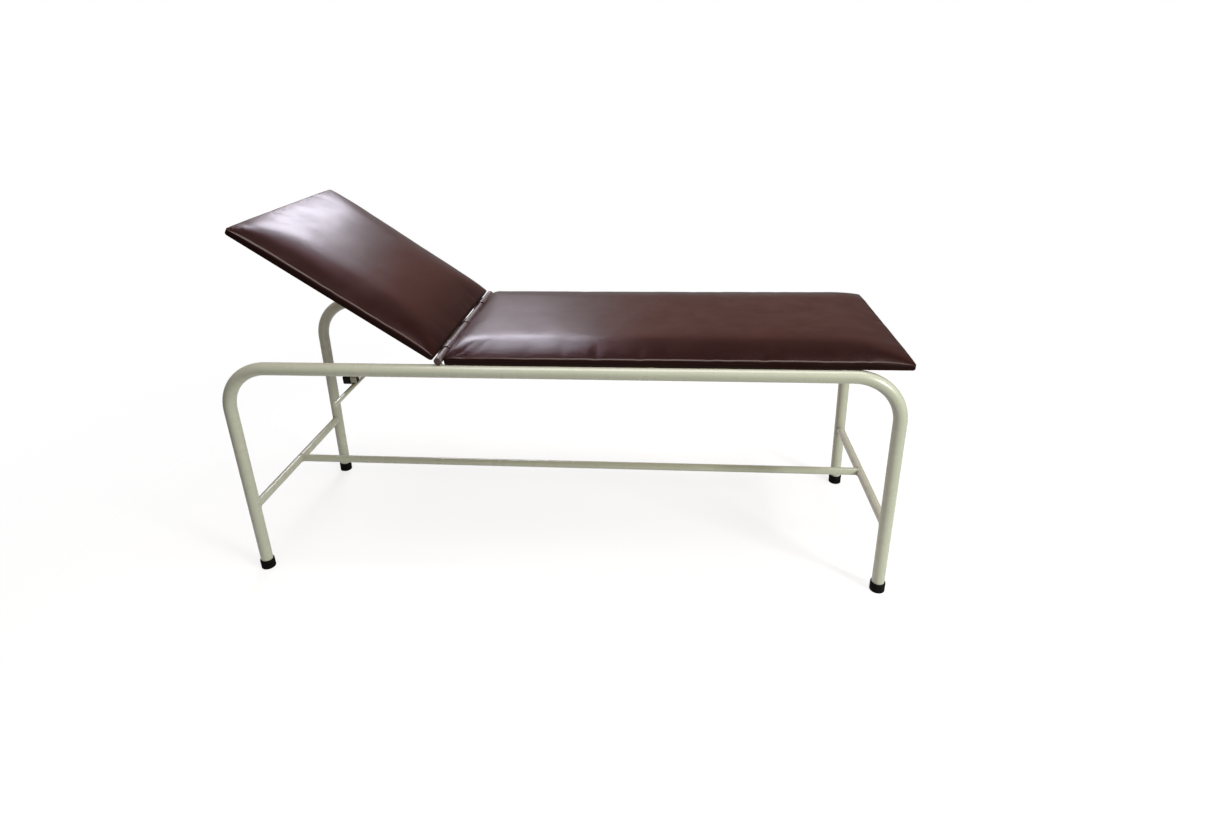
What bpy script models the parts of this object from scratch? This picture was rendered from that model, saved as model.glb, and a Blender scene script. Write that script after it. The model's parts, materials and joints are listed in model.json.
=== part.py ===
"""Examination couch: a bent-tube frame, a fixed flat pad and a backrest that tilts.

The backrest turns on sleeves round a hinge bar that lies across the rails. A crank under it pulls on
a notched bar that runs over a keeper pin, and lifting the cross handle at the bar's head end frees
its notches. The bar is held just high enough to slide over the pin. Metres, +X to the foot end,
+Y to the far side, +Z up, origin on the floor at the middle of the couch.
"""

import math

import bmesh
import bpy
from mathutils import Matrix, Vector

GAP = 0.0003  # between pieces that touch
SIDES = 16  # facets round a tube or a pin
SMALL_SIDES = 12  # facets round a screw

# Side frames
LEG_SPAN = 1.820  # between the leg and rail axes' crossings, head to foot
FRAME_WIDTH = 0.600  # between the two side frames' axes
RAIL_Z = 0.680  # axis of the rails
TUBE_R = 0.018
TUBE_WALL = 0.002
BEND_R = 0.135
LEG_SPLAY = math.radians(2.5)

# Lower tubes
LOW_Z = 0.223
CROSS_R = 0.0127
STRETCHER_R = 0.0120
THIN_WALL = 0.0015

# Feet
FOOT_R = 0.0215
FOOT_HEIGHT = 0.030
FOOT_BASE = 0.006
FOOT_BORE = 0.0186

# Hinge
HINGE_X = -0.295
HINGE_R = 0.01065
HINGE_HALF = 0.306
SLEEVE_BORE = HINGE_R + GAP
SLEEVE_R = 0.0132
SLEEVE_LENGTH = 0.050
TILT_AT_REST = math.radians(34.7)

# Pads
PAD_HALF = 0.304  # half width
PAD_END = 0.014  # from the hinge axis to each pad
SEAT_LENGTH = 1.211
BACK_LENGTH = 0.591
BOARD = 0.012
BOARD_INSET = 0.002
PAD_EDGE = 0.029  # height of the pad's upright side, board included
PAD_CROWN = 0.014
PAD_CORNER = 0.020

# Backrest frame
RAIL_SIDE = 0.020  # square tube
BACK_RAIL_Y = 0.200
BACK_RAIL_START = 0.008
BACK_RAIL_END = 0.585
BACK_MID = 0.300  # where the middle cross rail lies, from the hinge axis
BACK_SCREW_AT = (0.110, 0.480)

# Seat supports
SEAT_CROSS_X = (-0.250, 0.270, 0.755)
SEAT_SCREW_Y = 0.200
SCREW_R = 0.0025
SCREW_HEAD_R = 0.0050
SCREW_HEAD = 0.0028
SCREW_GRIP = 0.008  # length inside the board
SCREW_HOLE = 0.0029

# Ratchet
ARM_LENGTH = 0.153  # hinge axis to crank pin
CRANK_INNER = 0.0045
CRANK_THICK = 0.005
CRANK_EYE = 0.015
PIN_R = 0.005
PIN_HEAD_R = 0.008
PIN_HEAD = 0.003
PIN_END = 0.0138
CLIP_R = 0.009
CLIP = 0.0015
PIN_HOLE = PIN_R + GAP
BAR_HALF = 0.004  # half thickness
BAR_HALF_HEIGHT = 0.0125
KEEPER_X = -0.420
KEEPER_R = 0.006
KEEPER_CLEAR = 0.0005  # under the bar's teeth
KEEPER_COLLAR_R = 0.0095
KEEPER_COLLAR = 0.004
KEEPER_END = 0.008  # how far the stud reaches past the bar's middle
KEEPER_METAL = 0.012  # plate round the stud, from its axis
NUT_ACROSS = 0.0098
NUT_HEIGHT = 0.0065
THREAD_SHOWS = 0.003
NOTCH_DEPTH = 0.005
NOTCH_HALF = 0.0065
NOTCH_RAMP = 0.007
NOTCH_STEP = math.radians(11)
PLATE_INNER = 0.018
PLATE_THICK = 0.004
PLATE_BRACE = 0.022  # how far it runs past the cross tube's axis

# Handle
SOCKET_SIDE = 0.022
SOCKET_X = (-0.7165, -0.6740)
SOCKET_TOP = 0.53015
CAP_SIDE = 0.0254
CAP_X = (-0.7185, -0.6935)
HANDLE_R = 0.007
HANDLE_X = -0.6860
HANDLE_HALF = 0.150
TIP_R = 0.0086
TIP_LENGTH = 0.010

HALF_WIDTH = FRAME_WIDTH / 2
RAIL_TOP = RAIL_Z + TUBE_R
PAD_Z = RAIL_TOP + GAP
HINGE_Z = RAIL_TOP + GAP + HINGE_R
SEAT_START = HINGE_X + PAD_END
SEAT_CROSS_Z = RAIL_TOP - CROSS_R
PIN_Z = HINGE_Z - ARM_LENGTH
BAR_BOTTOM = PIN_Z - BAR_HALF_HEIGHT
BAR_TOP = PIN_Z + BAR_HALF_HEIGHT
KEEPER_Z = BAR_BOTTOM - KEEPER_CLEAR - KEEPER_R

PALETTE = {
    "cream_enamel": ((0.60, 0.58, 0.47, 1), 0.30, 0.0),
    "maroon_vinyl": ((0.065, 0.022, 0.024, 1), 0.35, 0.0),
    "black_rubber": ((0.012, 0.012, 0.012, 1), 0.75, 0.0),
    "black_plastic": ((0.010, 0.010, 0.010, 1), 0.45, 0.0),
    "plywood": ((0.50, 0.34, 0.19, 1), 0.70, 0.0),
    "zinc_steel": ((0.60, 0.60, 0.58, 1), 0.35, 1.0),
}


# ---------------------------------------------------------------- scene helpers


def clear_scene():
    for obj in list(bpy.data.objects):
        bpy.data.objects.remove(obj, do_unlink=True)


def material(kind):
    """The named finish, made on first use."""
    found = bpy.data.materials.get(kind)
    if found:
        return found
    color, roughness, metallic = PALETTE[kind]
    made = bpy.data.materials.new(kind)
    made.use_nodes = True
    shader = made.node_tree.nodes["Principled BSDF"]
    shader.inputs["Base Color"].default_value = color
    shader.inputs["Roughness"].default_value = roughness
    shader.inputs["Metallic"].default_value = metallic
    made.diffuse_color = color
    return made


def add_object(name, mesh_data, kind, parent=None):
    """Closes a bmesh into a named object with smooth round faces and sharp edges."""
    bmesh.ops.recalc_face_normals(mesh_data, faces=mesh_data.faces)
    mesh = bpy.data.meshes.new(name)
    mesh_data.to_mesh(mesh)
    mesh_data.free()
    mesh.materials.append(material(kind))
    mesh.shade_smooth()
    mesh.set_sharp_from_angle(angle=math.radians(32))
    obj = bpy.data.objects.new(name, mesh)
    bpy.context.scene.collection.objects.link(obj)
    obj.parent = parent
    return obj


def add_empty(name, location, turn=0.0):
    """A joint's axis: the pieces that move on it are its children."""
    empty = bpy.data.objects.new(name, None)
    empty.empty_display_size = 0.05
    bpy.context.scene.collection.objects.link(empty)
    empty.location = location
    empty.rotation_euler = (0, turn, 0)
    return empty


def cut(obj, cutters):
    """Takes each cutter away from the object; cutters stay hidden."""
    for number, cutter in enumerate(cutters):
        cutter.hide_render = True
        cutter.display_type = "WIRE"
        modifier = obj.modifiers.new(f"hole_{number}", "BOOLEAN")
        modifier.operation = "DIFFERENCE"
        modifier.solver = "EXACT"
        modifier.object = cutter


# ---------------------------------------------------------------- shape helpers


def ring(mesh_data, centre, across, up, radius, sides):
    """A circle of vertices in the plane of the unit vectors across and up."""
    verts = []
    for number in range(sides):
        angle = 2 * math.pi * number / sides
        point = centre + radius * (math.cos(angle) * across + math.sin(angle) * up)
        verts.append(mesh_data.verts.new(point))
    return verts


def join_rings(mesh_data, first, second):
    count = len(first)
    for number in range(count):
        after = (number + 1) % count
        mesh_data.faces.new((first[number], first[after], second[after], second[number]))


def path_directions(points):
    """Unit direction at each point of a path, the mean of the stretches beside it."""
    steps = [(b - a).normalized() for a, b in zip(points, points[1:])]
    inner = [(a + b).normalized() for a, b in zip(steps, steps[1:])]
    return [steps[0]] + inner + [steps[-1]]


def tube(name, points, radius, wall, kind, side=Vector((0, 1, 0)), sides=SIDES, parent=None):
    """A tube along a path that lies flat across `side`; with no wall it is a solid bar."""
    mesh_data = bmesh.new()
    shells = []
    for shell_radius in (radius, radius - wall) if wall else (radius,):
        rings = []
        for point, along in zip(points, path_directions(points)):
            rings.append(ring(mesh_data, point, side, along.cross(side), shell_radius, sides))
        for first, second in zip(rings, rings[1:]):
            join_rings(mesh_data, first, second)
        shells.append(rings)
    for end in (0, -1):
        if wall:
            join_rings(mesh_data, shells[0][end], shells[1][end])
        else:
            mesh_data.faces.new(shells[0][end])
    return add_object(name, mesh_data, kind, parent)


def turned(name, profile, kind, axis="Z", base=(0, 0, 0), sides=SIDES, lean=0.0, parent=None):
    """A solid of revolution from (radius, height) points; a radius of 0 closes an end.

    lean moves each height sideways along X, so that a foot follows a sloping leg.
    """
    turns = {"Z": Matrix.Identity(4), "Y": Matrix.Rotation(math.radians(-90), 4, "X")}
    across, up = Vector((1, 0, 0)), Vector((0, 1, 0))
    mesh_data = bmesh.new()
    rings = []
    for radius, height in profile:
        centre = Vector((lean * height, 0, height))
        if radius == 0:
            rings.append([mesh_data.verts.new(centre)])
        else:
            rings.append(ring(mesh_data, centre, across, up, radius, sides))
    for first, second in zip(rings, rings[1:]):
        if len(first) > 1 and len(second) > 1:
            join_rings(mesh_data, first, second)
            continue
        tip, rim = (first[0], second) if len(first) == 1 else (second[0], first)
        for number in range(sides):
            mesh_data.faces.new((tip, rim[number], rim[(number + 1) % sides]))
    mesh_data.transform(Matrix.Translation(base) @ turns[axis])
    return add_object(name, mesh_data, kind, parent)


def plate(name, outline, y_low, y_high, kind, parent=None):
    """An outline of (x, z) points, extruded across the couch."""
    mesh_data = bmesh.new()
    near = [mesh_data.verts.new((x, y_low, z)) for x, z in outline]
    face = mesh_data.faces.new(near)
    made = bmesh.ops.extrude_face_region(mesh_data, geom=[face])
    moved = [item for item in made["geom"] if isinstance(item, bmesh.types.BMVert)]
    bmesh.ops.translate(mesh_data, vec=(0, y_high - y_low, 0), verts=moved)
    return add_object(name, mesh_data, kind, parent)


def drill(name, x, z, radius, y_half, parent=None):
    """A round cutter across the couch, for a hole along Y."""
    ends = [Vector((x, -y_half, z)), Vector((x, y_half, z))]
    return tube(name, ends, radius, 0, "zinc_steel", side=Vector((1, 0, 0)), parent=parent)


def block(name, low, high, kind, parent=None):
    mesh_data = bmesh.new()
    size = [b - a for a, b in zip(low, high)]
    middle = [(a + b) / 2 for a, b in zip(low, high)]
    scale = Matrix.Diagonal((*size, 1))
    bmesh.ops.create_cube(mesh_data, size=1, matrix=Matrix.Translation(middle) @ scale)
    return add_object(name, mesh_data, kind, parent)


def square_tube(name, start, end, side, wall, kind, parent=None):
    """A square tube along X or Y between two points of its axis, open at both ends."""
    along = 0 if abs(end[0] - start[0]) > abs(end[1] - start[1]) else 1
    other = 1 - along
    outer = block(name, *grown_box(start, end, side / 2, other), kind, parent)
    reach = 0.01
    inner_start, inner_end = list(start), list(end)
    inner_start[along] -= reach
    inner_end[along] += reach
    inner_box = grown_box(inner_start, inner_end, side / 2 - wall, other)
    cut(outer, [block(name + "_bore", *inner_box, kind, parent)])
    return outer


def grown_box(start, end, half, other):
    low, high = list(start), list(end)
    for axis in (other, 2):
        low[axis] -= half
        high[axis] += half
    return low, high


def arc(centre, radius, first, last, steps):
    """Points (x, z) on a circle from one angle to another, in degrees."""
    points = []
    for number in range(steps + 1):
        angle = math.radians(first + (last - first) * number / steps)
        points.append((centre[0] + radius * math.cos(angle), centre[1] + radius * math.sin(angle)))
    return points


def convex_outline(points):
    """The points of the convex hull, in order round it."""
    points = sorted(set(points))

    def chain(row):
        kept = []
        for point in row:
            while len(kept) > 1 and turn_of(kept[-2], kept[-1], point) <= 0:
                kept.pop()
            kept.append(point)
        return kept[:-1]

    return chain(points) + chain(points[::-1])


def turn_of(a, b, c):
    return (b[0] - a[0]) * (c[1] - a[1]) - (b[1] - a[1]) * (c[0] - a[0])


def rounded_rectangle(low, high, inset, corner, steps=4):
    """Corner points (x, y) of a rectangle with round corners, pulled in by inset."""
    radius = max(corner - inset, 0.004)
    x0, y0 = low[0] + inset + radius, low[1] + inset + radius
    x1, y1 = high[0] - inset - radius, high[1] - inset - radius
    points = []
    for centre, first in (((x1, y1), 0), ((x0, y1), 90), ((x0, y0), 180), ((x1, y0), 270)):
        points += arc(centre, radius, first, first + 90, steps)
    return points


def layered(name, low, high, layers, corner, kind, parent=None):
    """A slab of rounded rectangles, one for each (inset, z) layer from the bottom up."""
    mesh_data = bmesh.new()
    rings = []
    for inset, z in layers:
        outline = rounded_rectangle(low, high, inset, corner)
        rings.append([mesh_data.verts.new((x, y, z)) for x, y in outline])
    for first, second in zip(rings, rings[1:]):
        join_rings(mesh_data, first, second)
    mesh_data.faces.new(rings[0])
    mesh_data.faces.new(rings[-1])
    return add_object(name, mesh_data, kind, parent)


# ---------------------------------------------------------------- frame


def leg_x(z):
    """Distance of a leg's axis from the middle of the couch at a height."""
    return LEG_SPAN / 2 + math.tan(LEG_SPLAY) * (RAIL_Z - z)


def side_frame_path(y):
    """Centre line of a side frame: up one leg, along the rail and down the other."""
    deflection = math.pi / 2 - LEG_SPLAY
    reach = BEND_R * math.tan(deflection / 2)
    bend_x = LEG_SPAN / 2 - reach
    low_z = FOOT_BASE + 5 * GAP
    half = [(leg_x(low_z), low_z)]
    half += arc((bend_x, RAIL_Z - BEND_R), BEND_R, math.degrees(LEG_SPLAY), 90, 7)
    foot_side = [Vector((x, y, z)) for x, z in half]
    head_side = [Vector((-point.x, y, point.z)) for point in foot_side]
    return head_side + foot_side[::-1]


def build_side_frames():
    for name, y in (("near_side_frame", -HALF_WIDTH), ("far_side_frame", HALF_WIDTH)):
        tube(name, side_frame_path(y), TUBE_R, TUBE_WALL, "cream_enamel")


def build_feet():
    groove = FOOT_R - 0.0013
    profile = [(0, 0), (FOOT_R - 0.001, 0), (FOOT_R, 0.0015)]
    for base in (0.006, 0.014):
        profile += [(FOOT_R, base), (groove, base + 0.0012), (groove, base + 0.0032), (FOOT_R, base + 0.0044)]
    profile += [(FOOT_R - 0.0008, FOOT_HEIGHT), (FOOT_BORE, FOOT_HEIGHT), (FOOT_BORE, FOOT_BASE), (0, FOOT_BASE)]
    for side_name, y in (("near", -HALF_WIDTH), ("far", HALF_WIDTH)):
        for end_name, sign in (("head", -1), ("foot", 1)):
            lean = -sign * math.tan(LEG_SPLAY)
            base = (sign * leg_x(0), y, 0)
            turned(f"rubber_foot_{side_name}_{end_name}", profile, "black_rubber", base=base, lean=lean)


def build_lower_tubes():
    reach = HALF_WIDTH - TUBE_R - GAP
    for name, sign in (("head_cross_tube", -1), ("foot_cross_tube", 1)):
        x = sign * leg_x(LOW_Z)
        ends = [Vector((x, -reach, LOW_Z)), Vector((x, reach, LOW_Z))]
        tube(name, ends, CROSS_R, THIN_WALL, "cream_enamel", side=Vector((1, 0, 0)))
    end_x = leg_x(LOW_Z) - CROSS_R - GAP
    ends = [Vector((-end_x, 0, LOW_Z)), Vector((end_x, 0, LOW_Z))]
    tube("long_stretcher", ends, STRETCHER_R, THIN_WALL, "cream_enamel")


def build_hinge_bar():
    ends = [Vector((HINGE_X, -HINGE_HALF, HINGE_Z)), Vector((HINGE_X, HINGE_HALF, HINGE_Z))]
    tube("hinge_bar", ends, HINGE_R, 0, "cream_enamel", side=Vector((1, 0, 0)))


# ---------------------------------------------------------------- flat pad


def screw_profile(through):
    """Pan-head screw: its head hangs under z = 0 and its shank rises through a tube into the board."""
    return [
        (0, -SCREW_HEAD),
        (SCREW_HEAD_R * 0.7, -SCREW_HEAD),
        (SCREW_HEAD_R, -SCREW_HEAD * 0.5),
        (SCREW_HEAD_R, -GAP),
        (SCREW_R, -GAP),
        (SCREW_R, through + SCREW_GRIP),
        (0, through + SCREW_GRIP + 0.001),
    ]


def upright_drill(name, x, y, low, high, parent=None):
    """A round cutter along Z, for a screw's hole."""
    profile = [(0, low), (SCREW_HOLE, low), (SCREW_HOLE, high), (0, high)]
    return turned(name, profile, "zinc_steel", base=(x, y, 0), sides=SMALL_SIDES, parent=parent)


def build_seat():
    low = (SEAT_START, -PAD_HALF)
    high = (SEAT_START + SEAT_LENGTH, PAD_HALF)
    board_low = (low[0] + BOARD_INSET, low[1] + BOARD_INSET)
    board_high = (high[0] - BOARD_INSET, high[1] - BOARD_INSET)
    layers = [(0, PAD_Z), (0, PAD_Z + BOARD)]
    board = layered("seat_board", board_low, board_high, layers, PAD_CORNER, "plywood")
    layered("seat_cushion", low, high, cushion_layers(PAD_Z), PAD_CORNER, "maroon_vinyl")
    reach = HALF_WIDTH - TUBE_R - GAP
    names = ("seat_head_cross_tube", "seat_mid_cross_tube", "seat_foot_cross_tube")
    board_holes = []
    for name, x in zip(names, SEAT_CROSS_X):
        ends = [Vector((x, -reach, SEAT_CROSS_Z)), Vector((x, reach, SEAT_CROSS_Z))]
        cross = tube(name, ends, CROSS_R, THIN_WALL, "cream_enamel", side=Vector((1, 0, 0)))
        tube_holes = []
        for side_name, y in (("near", -SEAT_SCREW_Y), ("far", SEAT_SCREW_Y)):
            label = f"seat_screw_{name.split('_')[1]}_{side_name}"
            base = (x, y, SEAT_CROSS_Z - CROSS_R - GAP)
            turned(label, screw_profile(2 * CROSS_R + 2 * GAP), "zinc_steel", base=base, sides=SMALL_SIDES)
            top = PAD_Z + SCREW_GRIP + 0.002
            hole = upright_drill(label + "_hole", x, y, SEAT_CROSS_Z - 0.02, top)
            tube_holes.append(hole)
            board_holes.append(hole)
        cut(cross, tube_holes)
    cut(board, board_holes)


def cushion_layers(z):
    """Insets and heights of a crowned cushion whose board starts at z."""
    edge = z + PAD_EDGE
    return [
        (0, z + BOARD + GAP),
        (0, edge - 0.006),
        (0.004, edge),
        (0.030, edge + PAD_CROWN * 0.55),
        (0.090, edge + PAD_CROWN),
    ]


# ---------------------------------------------------------------- backrest


def build_backrest(axis):
    """Pieces of the backrest, laid flat in the frame of its hinge axis."""
    pad_z = PAD_Z - HINGE_Z
    low = (-PAD_END - BACK_LENGTH, -PAD_HALF)
    high = (-PAD_END, PAD_HALF)
    board_low = (low[0] + BOARD_INSET, low[1] + BOARD_INSET)
    board_high = (high[0] - BOARD_INSET, high[1] - BOARD_INSET)
    layers = [(0, pad_z), (0, pad_z + BOARD)]
    board = layered("backrest_board", board_low, board_high, layers, PAD_CORNER, "plywood", axis)
    layered("backrest_cushion", low, high, cushion_layers(pad_z), PAD_CORNER, "maroon_vinyl", axis)

    rail_z = pad_z - GAP - RAIL_SIDE / 2
    holes = []
    for side_name, y in (("near", -BACK_RAIL_Y), ("far", BACK_RAIL_Y)):
        start, end = (-BACK_RAIL_END, y, rail_z), (-BACK_RAIL_START, y, rail_z)
        rail = square_tube(f"backrest_rail_{side_name}", start, end, RAIL_SIDE, THIN_WALL, "cream_enamel", axis)
        rail_holes = []
        for number, u in enumerate(BACK_SCREW_AT, 1):
            label = f"backrest_screw_{side_name}_{number}"
            base = (-u, y, rail_z - RAIL_SIDE / 2 - GAP)
            turned(label, screw_profile(RAIL_SIDE + 2 * GAP), "zinc_steel", base=base, sides=SMALL_SIDES, parent=axis)
            low_z, high_z = rail_z - 0.02, pad_z + SCREW_GRIP + 0.002
            rail_holes.append(upright_drill(label + "_hole", -u, y, low_z, high_z, axis))
        cut(rail, rail_holes)
        holes += rail_holes
    cut(board, holes)

    reach = BACK_RAIL_Y - RAIL_SIDE / 2 - GAP
    for name, u in (("backrest_mid_cross_rail", BACK_MID), ("backrest_head_cross_rail", BACK_RAIL_END - RAIL_SIDE / 2)):
        square_tube(name, (-u, -reach, rail_z), (-u, reach, rail_z), RAIL_SIDE, THIN_WALL, "cream_enamel", axis)
    start, end = (-BACK_MID + RAIL_SIDE / 2 + GAP, 0, rail_z), (-BACK_RAIL_START, 0, rail_z)
    square_tube("backrest_centre_rail", start, end, RAIL_SIDE, THIN_WALL, "cream_enamel", axis)
    sleeves = (
        ("hinge_sleeve_near", -BACK_RAIL_Y, SLEEVE_LENGTH),
        ("hinge_sleeve_centre", 0, 2 * (PLATE_INNER - 0.002)),
        ("hinge_sleeve_far", BACK_RAIL_Y, SLEEVE_LENGTH),
    )
    for name, y, length in sleeves:
        ends = [Vector((0, y - length / 2, 0)), Vector((0, y + length / 2, 0))]
        wall = SLEEVE_R - SLEEVE_BORE
        tube(name, ends, SLEEVE_R, wall, "cream_enamel", side=Vector((1, 0, 0)), parent=axis)
    build_crank(axis, rail_z - RAIL_SIDE / 2 - GAP)


def crank_pin_place():
    """(x, z) of the crank pin with the backrest laid flat; at rest it is under the hinge."""
    return ARM_LENGTH * math.sin(TILT_AT_REST), -ARM_LENGTH * math.cos(TILT_AT_REST)


def build_crank(axis, top):
    """Two plates under the centre rail that reach down to the crank pin."""
    pin_x, pin_z = crank_pin_place()
    corner = 0.004
    points = arc((pin_x, pin_z), CRANK_EYE, 0, 345, 23)
    points += arc((-0.085, top - corner), corner, 0, 330, 11)
    points += arc((-0.014, top - corner), corner, 0, 330, 11)
    outline = convex_outline(points)
    for side_name, sign in (("near", -1), ("far", 1)):
        edges = sorted((sign * CRANK_INNER, sign * (CRANK_INNER + CRANK_THICK)))
        crank = plate(f"crank_plate_{side_name}", outline, *edges, "cream_enamel", axis)
        cut(crank, [drill(f"crank_eye_{side_name}", pin_x, pin_z, PIN_HOLE, 0.02, axis)])


# ---------------------------------------------------------------- ratchet


def build_crank_pin(axis):
    """The pin through the crank plates and the bar's eye, with its spring clip."""
    pin_x, pin_z = crank_pin_place()
    outer = CRANK_INNER + CRANK_THICK
    start = -outer - GAP
    profile = headed_pin(start, PIN_HEAD, PIN_HEAD_R, PIN_R, PIN_END)
    turned("crank_pin", profile, "zinc_steel", axis="Y", base=(pin_x, 0, pin_z), parent=axis)
    low, high = outer + GAP, outer + GAP + CLIP
    profile = [(PIN_HOLE, low), (CLIP_R, low), (CLIP_R, high), (PIN_HOLE, high)]
    closed_ring("crank_pin_clip", profile, "zinc_steel", (pin_x, pin_z), axis)


def headed_pin(start, head, head_r, shank_r, end):
    """Profile of a pin along Y: its head before start, its shank from start to end."""
    edge = 0.001
    return [
        (0, start - head),
        (head_r - edge, start - head),
        (head_r, start - head + edge),
        (head_r, start),
        (shank_r, start),
        (shank_r, end - edge),
        (shank_r - edge, end),
        (0, end),
    ]


def closed_ring(name, profile, kind, place, parent):
    """A washer along Y from the (radius, y) corners of its section, at place (x, z)."""
    mesh_data = bmesh.new()
    rings = []
    for radius, y in profile:
        centre = Vector((place[0], y, place[1]))
        rings.append(ring(mesh_data, centre, Vector((1, 0, 0)), Vector((0, 0, 1)), radius, SIDES))
    for first, second in zip(rings, rings[1:] + rings[:1]):
        join_rings(mesh_data, first, second)
    return add_object(name, mesh_data, kind, parent)


def ratchet_outline():
    """The bar's outline in world (x, z), from its eye round to its deep head end."""
    head_end = SOCKET_X[0]
    deep = SOCKET_TOP + GAP
    over_cap = deep + (CAP_SIDE - SOCKET_SIDE) / 2 + GAP
    outline = arc((HINGE_X, PIN_Z), BAR_HALF_HEIGHT, 90, -90, 10)
    for number in (2, 1, 0, -1, -2):
        x = KEEPER_X + ARM_LENGTH * math.sin(number * NOTCH_STEP)
        outline += [
            (x + NOTCH_HALF + NOTCH_RAMP, BAR_BOTTOM),
            (x + NOTCH_HALF, BAR_BOTTOM + NOTCH_DEPTH),
            (x - NOTCH_HALF, BAR_BOTTOM + NOTCH_DEPTH),
            (x - NOTCH_HALF, BAR_BOTTOM),
        ]
    outline += [
        (SOCKET_X[1] + 0.018, BAR_BOTTOM),
        (SOCKET_X[1], deep),
        (CAP_X[1] + 2 * GAP, deep),
        (CAP_X[1] + 2 * GAP, over_cap),
        (head_end, over_cap),
        (head_end, BAR_TOP - 0.006),
        (head_end + 0.006, BAR_TOP),
    ]
    return outline


def build_ratchet_bar(axis):
    def local(points):
        return [(x - HINGE_X, z - PIN_Z) for x, z in points]

    bar = plate("ratchet_bar", local(ratchet_outline()), -BAR_HALF, BAR_HALF, "cream_enamel", axis)
    cut(bar, [drill("bar_eye", 0, 0, PIN_HOLE, 0.02, axis)])

    socket_z = SOCKET_TOP - SOCKET_SIDE / 2 - PIN_Z
    ends = [(x - HINGE_X, 0, socket_z) for x in SOCKET_X]
    square_tube("handle_socket", *ends, SOCKET_SIDE, THIN_WALL, "cream_enamel", axis)
    half = CAP_SIDE / 2
    cap_low = (CAP_X[0] - HINGE_X, -half, socket_z - half)
    cap_high = (CAP_X[1] - HINGE_X, half, socket_z + half)
    cap = block("socket_cap", cap_low, cap_high, "black_plastic", axis)
    inner = SOCKET_SIDE / 2 + GAP
    hollow_low = (SOCKET_X[0] - GAP - HINGE_X, -inner, socket_z - inner)
    hollow_high = (CAP_X[1] + 0.01 - HINGE_X, inner, socket_z + inner)
    cut(cap, [block("socket_cap_hollow", hollow_low, hollow_high, "black_plastic", axis)])

    rod_z = socket_z - SOCKET_SIDE / 2 - GAP - HANDLE_R
    rod_x = HANDLE_X - HINGE_X
    ends = [Vector((rod_x, -HANDLE_HALF, rod_z)), Vector((rod_x, HANDLE_HALF, rod_z))]
    tube("cross_handle", ends, HANDLE_R, 0, "cream_enamel", side=Vector((1, 0, 0)), parent=axis)
    for side_name, sign in (("near", -1), ("far", 1)):
        first = HANDLE_HALF + GAP
        profile = [(0, first), (TIP_R, first), (TIP_R, first + TIP_LENGTH - 0.003)]
        profile += [(TIP_R * 0.8, first + TIP_LENGTH - 0.0008), (0, first + TIP_LENGTH)]
        tip = turned(f"handle_tip_{side_name}", profile, "cream_enamel", axis="Y", parent=axis)
        tip.location = (rod_x, 0, rod_z)
        if sign < 0:
            tip.rotation_euler = (0, 0, math.pi)


def keeper_outline():
    """The keeper plate in world (x, z): hung from the hinge bar and braced on the first cross tube."""
    horn = PAD_END - 0.0012
    horn_z = HINGE_Z - 0.0055
    saddle = HINGE_R + GAP
    half_angle = math.degrees(math.asin((HINGE_Z - horn_z) / saddle))
    brace_x = SEAT_CROSS_X[0]
    brace_top = SEAT_CROSS_Z + 0.0030
    brace_r = CROSS_R + GAP
    brace_angle = math.degrees(math.asin((brace_top - SEAT_CROSS_Z) / brace_r))
    outline = [(HINGE_X - horn, horn_z)]
    outline += arc((HINGE_X, HINGE_Z), saddle, -180 + half_angle, -half_angle, 8)
    outline += [(HINGE_X + horn, horn_z), (HINGE_X + horn, brace_top)]
    outline += arc((brace_x, SEAT_CROSS_Z), brace_r, -180 - brace_angle, brace_angle, 10)
    outline += [
        (brace_x + PLATE_BRACE, brace_top),
        (brace_x + PLATE_BRACE, brace_top - 0.024),
        (HINGE_X + 0.030, PIN_Z + 0.030),
        (HINGE_X + 0.024, KEEPER_Z - KEEPER_METAL),
    ]
    outline += arc((KEEPER_X, KEEPER_Z), KEEPER_METAL, -90, -180, 5)
    outline += [
        (KEEPER_X - KEEPER_METAL, KEEPER_Z + 0.010),
        (KEEPER_X - KEEPER_METAL / 2, KEEPER_Z + 0.018),
        (HINGE_X - 0.052, KEEPER_Z + 0.018),
        (HINGE_X - horn, PIN_Z + 0.060),
    ]
    return outline


def stud_profile(inner, end):
    """Profile of a stud along Y whose collar bears on a plate's inner face."""
    edge = 0.001
    return [
        (0, -KEEPER_END),
        (KEEPER_R - edge, -KEEPER_END),
        (KEEPER_R, -KEEPER_END + edge),
        (KEEPER_R, inner - GAP - KEEPER_COLLAR),
        (KEEPER_COLLAR_R, inner - GAP - KEEPER_COLLAR),
        (KEEPER_COLLAR_R, inner - GAP),
        (KEEPER_R, inner - GAP),
        (KEEPER_R, end - edge),
        (KEEPER_R - edge, end),
        (0, end),
    ]


def build_keeper():
    """A plate beyond the bar, with a stud under the bar for its notches to drop over."""
    outer = PLATE_INNER + PLATE_THICK
    piece = plate("keeper_plate", keeper_outline(), PLATE_INNER, outer, "cream_enamel")
    cut(piece, [drill("keeper_hole", KEEPER_X, KEEPER_Z, KEEPER_R + GAP, 0.03)])
    profile = stud_profile(PLATE_INNER, outer + NUT_HEIGHT + THREAD_SHOWS)
    turned("keeper_pin", profile, "zinc_steel", axis="Y", base=(KEEPER_X, 0, KEEPER_Z))
    hexagon = arc((KEEPER_X, KEEPER_Z), NUT_ACROSS, 0, 300, 5)
    nut = plate("keeper_nut", hexagon, outer + GAP, outer + GAP + NUT_HEIGHT, "zinc_steel")
    cut(nut, [drill("keeper_nut_thread", KEEPER_X, KEEPER_Z, KEEPER_R + GAP, 0.05)])


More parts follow.
